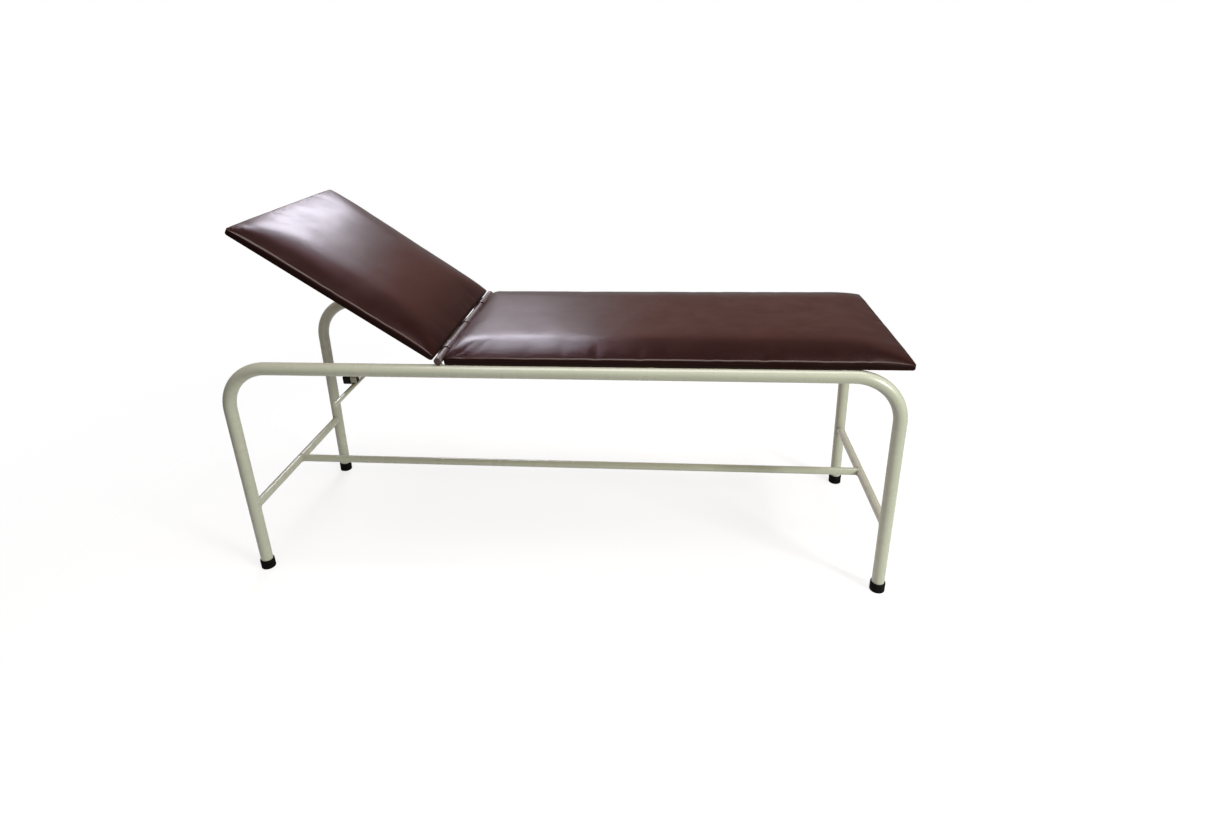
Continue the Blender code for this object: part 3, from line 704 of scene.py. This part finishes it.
def swell(mesh, rows, cap=0.0055, frames=20):
    """Blows the cover up against its foam with cloth simulation, and returns the moved points."""
    before = np.array([vert.co for vert in mesh.vertices])
    obj = made_object("swelling", mesh)
    group = obj.vertex_groups.new(name="fixed")
    for number, row in enumerate(rows):
        group.add(row, RIM_HOLD[number] if number < len(RIM_HOLD) else 1.0, "REPLACE")
    cloth = obj.modifiers.new("cloth", "CLOTH")
    for label, value in CLOTH.items():
        setattr(cloth.settings, label, value)
    cloth.settings.effector_weights.gravity = 0
    cloth.collision_settings.use_collision = False
    cloth.point_cache.frame_end = frames
    scene = bpy.context.scene
    for number in range(1, frames + 1):
        scene.frame_set(number)
    swollen = obj.evaluated_get(bpy.context.evaluated_depsgraph_get())
    after = np.array([vert.co for vert in swollen.to_mesh().vertices])
    swollen.to_mesh_clear()
    bpy.data.objects.remove(obj)
    scene.frame_set(1)
    step = after - before
    length = np.maximum(np.linalg.norm(step, axis=1, keepdims=True), 1e-9)
    # the cap is soft, so that no edge shows where it sets in
    return before + step * cap * np.tanh(length / cap) / length


def subdivided(mesh):
    """The same cover with four faces for each one, and its open hem closed inside the board."""
    obj = made_object("smoothing", mesh)
    obj.modifiers.new("smooth", "SUBSURF").levels = 1
    graph = bpy.context.evaluated_depsgraph_get()
    finer = obj.evaluated_get(graph).to_mesh()
    bm = bmesh.new()
    bm.from_mesh(finer)
    obj.evaluated_get(graph).to_mesh_clear()
    bpy.data.objects.remove(obj)
    bpy.data.meshes.remove(mesh)
    open_edges = [edge for edge in bm.edges if edge.is_boundary]
    bmesh.ops.contextual_create(bm, geom=open_edges)
    return bm


def pucker(bm, length, width, dents):
    """Small dents that run in from the edge, where the cover is drawn tight between staples."""
    for vert in bm.verts:
        x, y, z = vert.co
        if z < PAD_SHOULDER + 0.0005:
            continue
        drop = 0.0
        for edge, (inward, along) in enumerate(((y, x), (width - y, x), (x, y), (length - x, y))):
            if inward > DENT_LIMIT:
                continue
            for place, reach, depth, spread, which in dents:
                if which == edge and abs(along - place) < 3 * spread:
                    fall = math.exp(-((along - place) / spread) ** 2)
                    fade = math.exp(-((inward - reach * 0.35) / (reach * 0.55)) ** 2)
                    drop += depth * fall * fade
        vert.co.z += noise.noise(Vector((x * 11, y * 11, 3.7))) * 0.0007 - drop


def make_dents(length, width, seed):
    """Rows of (place along the edge, reach, depth, spread, edge), deepest on the near edge, edge 0."""
    rng = np.random.default_rng(seed)
    dents = []
    for edge, size in enumerate((length, length, width, width)):
        place = 0.05 + rng.uniform(0, 0.03)
        while place < size - 0.05:
            spread = rng.uniform(0.010, 0.020)
            depth = rng.uniform(0.0003, 0.0016) * (1.0 if edge == 0 else 0.4)
            dents.append((place, rng.uniform(0.035, 0.095), depth, spread, edge))
            place += rng.uniform(0.045, 0.115)
    return dents


def build_cushion(name, node, body, low, length, seed, firm_start=False, matrix=Matrix()):
    """A foam pad under vinyl whose lowest corner is at low; matrix then lays it in place."""
    width = 2 * PAD_HALF
    bm, rows = cushion_mesh(length, width, firm_start)
    mesh = made_mesh(name, bm)
    mesh.vertices.foreach_set("co", swell(mesh, rows).astype(np.float32).ravel())
    bm = subdivided(mesh)
    pucker(bm, length, width, make_dents(length, width, seed))
    obj = piece(name, bm, "vinyl", body, [node], 60.0, matrix @ Matrix.Translation(low))


def build_board(name, node, body, low, high, matrix=Matrix()):
    """The plywood that shows inside the hem."""
    bm = bmesh.new()
    edge = BOARD_INSET + BOARD_CORNER
    right, back, left, front = high[0] - edge, high[1] - edge, low[0] + edge, low[1] + edge
    outline = []
    for number, centre in enumerate(((right, back), (left, back), (left, front), (right, front))):
        outline += arc(centre, BOARD_CORNER, 90 * number, 90 * number + 90, 6)
    base = low[2] + 0.0010
    rings = [[bm.verts.new((x, y, z)) for x, y in outline] for z in (base, base + BOARD - 0.002)]
    loft(bm, rings)
    piece(name, bm, "board", body, [node], 35.0, matrix)


def build_staples(name, body, low, high, matrix=Matrix()):
    """Wire staples through the hem, round the underside of the board."""
    bm = bmesh.new()
    half, wire = 0.0055, 0.00045
    spots = []
    for axis in (0, 1):
        other = 1 - axis
        span = high[axis] - low[axis]
        count = int(span / STAPLE_STEP)
        for number in range(count):
            at = low[axis] + span * (number + 0.5) / count + RNG.uniform(-0.008, 0.008)
            for edge in (low[other] + STAPLE_INSET, high[other] - STAPLE_INSET):
                spot = [0.0, 0.0]
                spot[axis], spot[other] = at, edge + RNG.uniform(-0.003, 0.003)
                spots.append((spot, axis * math.pi / 2 + RNG.uniform(-0.25, 0.25)))
    for spot, angle in spots:
        way = Vector((math.cos(angle), math.sin(angle), 0))
        base = Vector((*spot, low[2]))
        rise, bend = Z * 0.0004, way * (half - 0.0008)
        points = [base - way * half + rise, base - bend - rise, base + bend - rise, base + way * half + rise]
        sweep(bm, points, circle(wire, 6), way.cross(Z))
    piece(name, bm, "steel", body, (), 50.0, matrix)


def build_pads():
    start = HINGE.x + PAD_END
    low, high = (start, -PAD_HALF, PAD_Z), (start + SEAT_LENGTH, PAD_HALF, PAD_Z)
    build_cushion("seat_pad", "seat_cushion", "frame", low, SEAT_LENGTH, 11, True)
    build_board("seat_plywood", "seat_board", "frame", low, high)
    build_staples("seat_staples", "frame", low, high)
    base = PAD_Z - HINGE.z
    low, high = (-PAD_END - BACK_LENGTH, -PAD_HALF, base), (-PAD_END, PAD_HALF, base)
    build_cushion("backrest_pad", "backrest_cushion", "backrest", low, BACK_LENGTH, 23, False, LAID)
    build_board("backrest_plywood", "backrest_board", "backrest", low, high, LAID)
    build_staples("backrest_staples", "backrest", low, high, LAID)


# --- backrest frame

RAIL_SIDE = 0.020
BOX_WALL = 0.0015
BACK_RAIL_Y = 0.200
BACK_RAIL_START = 0.008
BACK_RAIL_END = 0.585
BACK_MID = 0.300
BACK_RAIL_Z = PAD_Z - HINGE.z - GAP - RAIL_SIDE / 2
SLEEVE_R = 0.0132
SLEEVE_BORE = 0.01095


def box_tube(name, node, start, end, body="backrest", matrix=LAID, side=RAIL_SIDE):
    """A square tube from start to end with round corners."""
    start, end = Vector(start), Vector(end)
    across = Y if abs((end - start).x) > abs((end - start).y) else X
    bm = bmesh.new()
    points = [start.lerp(end, t) for t in np.linspace(0, 1, max(2, int((end - start).length / 0.04)))]
    outer, inner = rounded_square(side / 2, 0.0024), rounded_square(side / 2 - BOX_WALL, 0.0010)
    pipe(bm, points, outer, inner, across)
    piece(name, bm, "enamel", body, [node], 35.0, matrix)


def square_bead(bm, centre, side):
    """Weld round a square tube's end that butts against another; side is level and across the tube."""
    corners = rounded_square(RAIL_SIDE / 2 + 0.0002, 0.0026, 4)
    corner_bead(bm, [Vector(centre) + a * side + b * Z for a, b in corners], 0.0017)


def sleeve_bead(bm, y, z):
    """Weld round a rail's end, where it meets the sleeve's round side."""
    loop = []
    for a, b in rounded_square(RAIL_SIDE / 2 - 0.0005, 0.003, 4):
        height = z + b
        x = -math.sqrt(max(SLEEVE_R**2 - height**2, 1e-6)) if abs(height) < SLEEVE_R else -0.0015
        loop.append(Vector((x, y + a, height)))
    corner_bead(bm, loop, 0.0018)


def build_backrest_frame():
    beads = bmesh.new()
    z = BACK_RAIL_Z
    for side_name, sign in FLANKS:
        start, end = (-BACK_RAIL_END, sign * BACK_RAIL_Y, z), (-BACK_RAIL_START, sign * BACK_RAIL_Y, z)
        box_tube(f"back_runner_{side_name}", f"backrest_rail_{side_name}", start, end)
    reach = BACK_RAIL_Y - RAIL_SIDE / 2
    for label, part, away in (("mid", "mid", BACK_MID), ("top", "head", BACK_RAIL_END - RAIL_SIDE / 2)):
        start, end = (-away, -reach, z), (-away, reach, z)
        box_tube(f"back_{label}_rail", f"backrest_{part}_cross_rail", start, end)
        for place in (start, end):
            square_bead(beads, place, X)
    start, end = (-BACK_MID + RAIL_SIDE / 2, 0, z), (-BACK_RAIL_START, 0, z)
    box_tube("back_centre_runner", "backrest_centre_rail", start, end)
    square_bead(beads, start, Y)
    for part, y in (("near", -BACK_RAIL_Y), ("centre", 0), ("far", BACK_RAIL_Y)):
        node = f"hinge_sleeve_{part}"
        low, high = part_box(node)
        half = (high.y - low.y) / 2
        bm = bmesh.new()
        points = [Vector((0, y + t * half, 0)) for t in (-1, -0.5, 0, 0.5, 1)]
        pipe(bm, points, circle(SLEEVE_R), circle(SLEEVE_BORE), X)
        # the sleeves are given the same painted shade as the hinge rod
        piece(f"hinge_tube_{part}", bm, "enamel", "backrest", [node], 35.0, LAID, HINGE_SHADE_LOOK)
        sleeve_bead(beads, y, z)
    build_crank(beads)
    piece("backrest_weld_beads", beads, "enamel", "backrest", (), 70.0, LAID)


def build_crank(beads):
    """The two cheeks under the backrest, and the pin through them with its clip."""
    arm = HINGE.z - PIN.z
    pin_x, pin_z = arm * math.sin(TILT), -arm * math.cos(TILT)
    top = BACK_RAIL_Z - RAIL_SIDE / 2 - GAP
    corner = 0.004
    points = arc((pin_x, pin_z), 0.015, 0, 354, 59)
    for x in (-0.085, -0.014):
        points += arc((x, top - corner), corner, 0, 330, 11)
    outline = [points[index] for index in geometry.convex_hull_2d(points)]
    for side_name, sign in FLANKS:
        bm = bmesh.new()
        slab(bm, outline, *sorted((sign * 0.0045, sign * 0.0095)))
        soften(bm, 0.0008)
        piece(f"crank_cheek_{side_name}", bm, "enamel", "backrest", [f"crank_plate_{side_name}"], matrix=LAID)
        spine = [Vector((x, sign * 0.0100, top + 0.0002)) for x in np.linspace(-0.082, -0.018, 70)]
        seam_bead(beads, spine, (0, sign * 0.0008, 0.0006), 0.0017)
    place = LAID @ Matrix.Translation((pin_x, 0, pin_z)) @ CROSSWISE
    start, head, head_r, shank, end = -0.0098, 0.003, 0.008, 0.005, 0.0138
    profile = [(0, start - head), (head_r - 0.0014, start - head), (head_r - 0.0004, start - head + 0.0004)]
    profile += [(head_r, start - head + 0.0012), (head_r, start), (shank, start), (shank, end - 0.0012)]
    profile += [(shank - 0.0003, end - 0.0004), (shank - 0.0012, end), (0, end)]
    bm = bmesh.new()
    turned(bm, profile, SIDES, place)
    piece("clevis_pin", bm, "steel", "backrest", ["crank_pin"])
    # the clip is stamped: a ring open at one side
    bm = bmesh.new()
    outline = arc((0, 0), 0.009, 25, 335, 40) + arc((0, 0), 0.0053, 335, 25, 40)
    extrude(bm, [(x, y, 0.0098) for x, y in outline], (0, 0, 0.0015))
    soften(bm, 0.0003)
    piece("clevis_clip", bm, "steel", "backrest", ["crank_pin_clip"], matrix=place)


# --- ratchet

BAR_HALF_HEIGHT = 0.0125
BAR_HALF = 0.004
KEEPER_X = -0.420
KEEPER_Z = PIN.z - BAR_HALF_HEIGHT - 0.0005 - 0.006
brace_low, brace_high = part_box("seat_head_cross_tube")
BRACE = ((brace_low.x + brace_high.x) / 2, (brace_low.z + brace_high.z) / 2)
BRACE_R = (brace_high.x - brace_low.x) / 2
NOTCH_STEP = math.radians(11)
SOCKET_X = (-0.7165, -0.6740)
SOCKET_TOP = 0.53015
SOCKET_SIDE = 0.022
CAP_X = (-0.7185, -0.6935)
CAP_SIDE = 0.0254
HANDLE_X = -0.6860
HANDLE_R = 0.007
HANDLE_HALF = 0.150


def bar_outline():
    bottom, top = PIN.z - BAR_HALF_HEIGHT, PIN.z + BAR_HALF_HEIGHT
    deep = SOCKET_TOP + GAP
    over_cap = deep + (CAP_SIDE - SOCKET_SIDE) / 2 + GAP
    outline = arc((HINGE.x, PIN.z), BAR_HALF_HEIGHT, 90, -90, 28)
    arm = HINGE.z - PIN.z
    half, ramp, depth = 0.0065, 0.007, 0.005
    for number in (2, 1, 0, -1, -2):
        x = KEEPER_X + arm * math.sin(number * NOTCH_STEP)
        outline += [(x + half + ramp, bottom), (x + half + ramp * 0.5, bottom + depth * 0.45)]
        outline += arc((x + half - 0.0012, bottom + depth - 0.0012), 0.0012, 35, 90, 3)
        outline += arc((x - half + 0.0012, bottom + depth - 0.0012), 0.0012, 90, 180, 4)
        outline.append((x - half, bottom))
    outline += [(SOCKET_X[1] + 0.018, bottom), (SOCKET_X[1], deep), (CAP_X[1] + 2 * GAP, deep)]
    outline += [(CAP_X[1] + 2 * GAP, over_cap), (SOCKET_X[0], over_cap)]
    outline += arc((SOCKET_X[0] + 0.006, top - 0.006), 0.006, 180, 90, 6)
    return outline


def build_ratchet():
    bm = bmesh.new()
    slab(bm, bar_outline(), -BAR_HALF, BAR_HALF)
    soften(bm, 0.0007)
    piece("notched_bar", bm, "enamel", "ratchet_bar", ["ratchet_bar"])
    beads = bmesh.new()
    socket_z = SOCKET_TOP - SOCKET_SIDE / 2
    ends = [(x, 0, socket_z) for x in SOCKET_X]
    box_tube("grip_socket", "handle_socket", *ends, "ratchet_bar", Matrix(), SOCKET_SIDE)
    for sign in (-1, 1):
        xs = np.linspace(CAP_X[1] + 0.001, SOCKET_X[1] - 0.001, 20)
        spine = [Vector((x, sign * (BAR_HALF + 0.0004), SOCKET_TOP + 0.0002)) for x in xs]
        seam_bead(beads, spine, (0, sign * 0.0010, -0.0003), 0.0014)
    build_cap(socket_z)
    build_handle(socket_z - SOCKET_SIDE / 2 - GAP - HANDLE_R, beads)
    piece("ratchet_weld_beads", beads, "enamel", "ratchet_bar", (), 70.0)


def build_cap(socket_z):
    """The black cap pushed over the socket's end, rounded toward its closed end."""
    half = CAP_SIDE / 2
    section = rounded_square(half, 0.0034, 6)
    low, high = CAP_X
    bm = bmesh.new()

    def ring(x, size):
        share = size / half
        return [bm.verts.new((x, a * share, socket_z + b * share)) for a, b in section]

    steps = ((high, half - SOCKET_SIDE / 2), (high, 0.0004), (high - 0.0006, 0), (low + 0.0030, 0))
    steps += ((low + 0.0012, 0.0007), (low + 0.0003, 0.0020), (low, 0.0042))
    loft(bm, [ring(x, half - inset) for x, inset in steps])
    piece("end_cap", bm, "plastic", "ratchet_bar", ["socket_cap"])


def build_handle(rod_z, beads):
    """The thin rod across the couch under the socket, with a knob on each end."""
    place = Matrix.Translation((HANDLE_X, 0, rod_z)) @ CROSSWISE
    ys = np.linspace(-HANDLE_HALF, HANDLE_HALF, 16)
    profile = [(0, -HANDLE_HALF), *((HANDLE_R, y) for y in ys), (0, HANDLE_HALF)]
    bm = bmesh.new()
    turned(bm, profile, 40, place)
    piece("grip_rod", bm, "enamel", "ratchet_bar", ["cross_handle"])
    knob, first, last = 0.0086, HANDLE_HALF - 0.002, HANDLE_HALF + GAP + 0.010
    profile = [(0, first), (HANDLE_R + 0.0002, first), (knob - 0.0005, first + 0.0005)]
    profile += [(knob, first + 0.0014), (knob, last - 0.0040), (knob - 0.0006, last - 0.0022)]
    profile += [(knob - 0.0022, last - 0.0008), (knob - 0.0045, last - 0.0002), (0, last)]
    for side_name, sign in FLANKS:
        bm = bmesh.new()
        flip = Matrix.Identity(4) if sign > 0 else Matrix.Rotation(math.pi, 4, "X")
        turned(bm, profile, 40, place @ flip)
        piece(f"grip_knob_{side_name}", bm, "enamel", "ratchet_bar", [f"handle_tip_{side_name}"])
    for lean in (-1, 1):
        ys = np.linspace(-0.0105, 0.0105, 24)
        spine = [Vector((HANDLE_X + lean * 0.0046, y, rod_z + HANDLE_R - 0.0008)) for y in ys]
        seam_bead(beads, spine, (lean * 0.0010, 0, 0.0002), 0.0015)


def keeper_outline():
    """From the saddle round the hinge bar, round the cross tube beside it and down to the keeper pin."""
    horn = PAD_END - 0.0012
    horn_z = HINGE.z - 0.0055
    half_angle = math.degrees(math.asin((HINGE.z - horn_z) / SLEEVE_BORE))
    brace_r = BRACE_R + GAP
    brace_top = BRACE[1] + 0.0030
    brace_angle = math.degrees(math.asin((brace_top - BRACE[1]) / brace_r))
    outline = [(HINGE.x - horn, horn_z)]
    outline += arc((HINGE.x, HINGE.z), SLEEVE_BORE, -180 + half_angle, -half_angle, 20)
    outline += [(HINGE.x + horn, horn_z), (HINGE.x + horn, brace_top)]
    outline += arc(BRACE, brace_r, -180 - brace_angle, brace_angle, 24)
    outline += [(BRACE[0] + 0.022, brace_top), (BRACE[0] + 0.022, brace_top - 0.024)]
    outline += [(HINGE.x + 0.030, PIN.z + 0.030), (HINGE.x + 0.024, KEEPER_Z - 0.012)]
    outline += arc((KEEPER_X, KEEPER_Z), 0.012, -90, -180, 14)
    outline += [(KEEPER_X - 0.012, KEEPER_Z + 0.010), (KEEPER_X - 0.006, KEEPER_Z + 0.018)]
    outline += [(HINGE.x - 0.052, KEEPER_Z + 0.018), (HINGE.x - horn, PIN.z + 0.060)]
    return outline


def build_keeper(beads):
    """The plate that hangs from the hinge bar, the stud that the notches drop on, and the stud's nut."""
    inner, outer = 0.018, 0.022
    bm = bmesh.new()
    slab(bm, keeper_outline(), inner, outer)
    soften(bm, 0.0007)
    piece("keeper_cheek", bm, "enamel", "frame", ["keeper_plate"])
    around = arc(BRACE, BRACE_R + 0.0004, -185, 5, 60)
    for y, way in ((inner - 0.0002, -1), (outer + 0.0002, 1)):
        seam_bead(beads, [Vector((x, y, z)) for x, z in around], (0, way * 0.0010, 0), 0.0014)
    start, collar, collar_r, shank, end = -0.008, 0.004, 0.0095, 0.006, outer + 0.0095
    face = inner - GAP
    profile = [(0, start), (shank - 0.0016, start), (shank - 0.0005, start + 0.0004), (shank, start + 0.0012)]
    profile += [(shank, face - collar), (collar_r - 0.0008, face - collar)]
    profile += [(collar_r, face - collar + 0.0008), (collar_r, face), (shank, face), (shank, outer)]
    # the thread is a row of crests and roots, seven of each
    for number in range(14):
        y = outer + (end - outer - 0.001) * number / 14
        profile.append((shank - (0.0005 if number % 2 else 0.0), y + 0.0001))
    profile += [(shank - 0.0008, end - 0.0004), (shank - 0.0014, end), (0, end)]
    bm = bmesh.new()
    turned(bm, profile, SIDES, Matrix.Translation((KEEPER_X, 0, KEEPER_Z)) @ CROSSWISE)
    piece("keeper_stud", bm, "steel", "frame", ["keeper_pin"])
    bm = bmesh.new()
    hexagon = arc((KEEPER_X, KEEPER_Z), 0.0098, 0, 300, 5)
    slab(bm, hexagon, outer + GAP, outer + GAP + 0.0065)
    soften(bm, 0.0009)
    piece("keeper_hex_nut", bm, "steel", "frame", ["keeper_nut"])


# --- stage

YAW, PITCH, ROLL_VIEW = -0.0961, 0.4696, -0.0244
CAMERA_AT = Vector((0.3028, -1.9758, 1.3988))
FOCAL_PX, IMAGE_WIDTH, SENSOR = 699.2, 1207, 36.0
LIGHTS = (
    ("overhead", (0.5, -0.5, 3.4), (0.3, 0.0, 0.0), (3.6, 1.5), 88, (1.0, 0.99, 0.96)),
    ("front", (3.1, -2.2, 1.7), (0.3, -0.3, 0.4), (0.8, 0.8), 100, (0.93, 1.0, 0.87)),
    ("window", (-1.16, 3.0, 2.86), (-0.45, 0.0, 0.85), (1.3, 0.7), 46, (0.88, 0.86, 1.0)),
)
# The room's brightness and warmth by the height of the direction: floor, walls, then a dark ceiling.
WALLS = ((0.0, 0.34, 0.94), (0.50, 0.36, 0.94), (0.60, 0.36, 0.90), (0.68, 0.58, 0.76), (0.76, 0.62, 0.76))
WALLS += ((0.82, 0.12, 0.90), (1.0, 0.10, 0.94))
CONTRAST = ((0.012, 0.006), (0.030, 0.0165), (0.060, 0.042), (0.110, 0.108), (0.200, 0.205), (0.500, 0.515))


def add_camera():
    data = bpy.data.cameras.new("camera")
    data.sensor_fit = "HORIZONTAL"
    data.sensor_width = SENSOR
    data.lens = FOCAL_PX / IMAGE_WIDTH * SENSOR
    data.clip_end = 100
    turn = Matrix.Rotation(-YAW, 4, "Z") @ Matrix.Rotation(math.pi / 2 - PITCH, 4, "X")
    camera = made_object("camera", data)
    camera.matrix_world = Matrix.Translation(CAMERA_AT) @ turn @ Matrix.Rotation(ROLL_VIEW, 4, "Z")
    bpy.context.scene.camera = camera


def add_light(name, at, target, size, power, colour):
    data = bpy.data.lights.new(name, "AREA")
    data.shape = "RECTANGLE"
    data.size, data.size_y = size
    data.energy = power
    data.color = colour
    light = made_object(name, data)
    light.location = at
    light.rotation_euler = (Vector(target) - Vector(at)).to_track_quat("-Z", "Y").to_euler()


def add_floor():
    """White paper that fades out with distance, so that no horizon shows."""
    bm = bmesh.new()
    bmesh.ops.create_grid(bm, x_segments=8, y_segments=8, size=40)
    mesh = made_mesh("studio_floor", bm)
    white = (1, 1, 1, 1)
    look = Look("studio_floor_paper", Specular_IOR_Level=0.1, Emission_Strength=0.35, Emission_Color=white)
    look.paint(look.ramp(look.noise(1.5, 2.0), (0.3, 0.86), (0.7, 0.88)), 0.9)
    away = look.node("ShaderNodeVectorMath", {"operation": "LENGTH"}, Vector=look.place).outputs["Value"]
    cover = look.ramp(look.maths("DIVIDE", away, 4.0), (0.30, 0.42), (0.62, 0.0))
    look.plug(cover, look.shader.inputs["Alpha"])
    mesh.materials.append(look.material)
    floor = made_object("studio_floor", mesh)


def add_world():
    """A white backdrop to look at, and a room of walls under a dark ceiling to be lit by."""
    world = bpy.data.worlds.new("studio")
    bpy.context.scene.world = world
    world.use_nodes = True
    room = Nodes(world.node_tree)
    room.tree.nodes.clear()
    way = room.node("ShaderNodeTexCoord").outputs["Generated"]
    parts = room.node("ShaderNodeSeparateXYZ", Vector=way).outputs
    walls = []
    for height, tone, warmth in WALLS:
        walls.append((height, (tone, tone * warmth, tone * (1.35 * warmth - 0.35))))
    colour = room.ramp(room.maths("MULTIPLY_ADD", parts["Z"], 0.5, 0.5), *walls)
    # the room is darker toward -Y and toward +X
    depth = room.remap(parts["Y"], -0.35, 0.25, 0.35, 1.0)
    across = room.remap(parts["X"], 0.25, 0.65, 1.0, 0.40)
    felt = room.node("ShaderNodeBackground", Color=colour, Strength=room.maths("MULTIPLY", depth, across))
    seen = room.node("ShaderNodeBackground", Color=(1, 1, 1, 1))
    mixer = room.node("ShaderNodeMixShader", Fac=room.node("ShaderNodeLightPath").outputs["Is Camera Ray"])
    room.plug(felt.outputs[0], mixer.inputs[1])
    room.plug(seen.outputs[0], mixer.inputs[2])
    room.node("ShaderNodeOutputWorld", Surface=mixer.outputs[0])


def set_contrast():
    """Plain display colours, with the darkest tones pressed down as a camera does."""
    view = bpy.context.scene.view_settings
    view.view_transform = "Standard"
    view.use_curve_mapping = True
    curve = view.curve_mapping.curves[3]
    for tone, shown in CONTRAST:
        curve.points.new(tone, shown)
    view.curve_mapping.update()


def main():
    add_camera()
    add_floor()
    add_world()
    for light in LIGHTS:
        add_light(*light)
    set_contrast()
    beads = bmesh.new()
    build_side_frames()
    build_feet()
    build_cross_tubes(beads)
    build_hinge_bar(beads)
    build_keeper(beads)
    piece("frame_weld_beads", beads, "enamel", "frame", (), 70.0)
    build_backrest_frame()
    build_screws()
    build_ratchet()
    build_pads()


main()
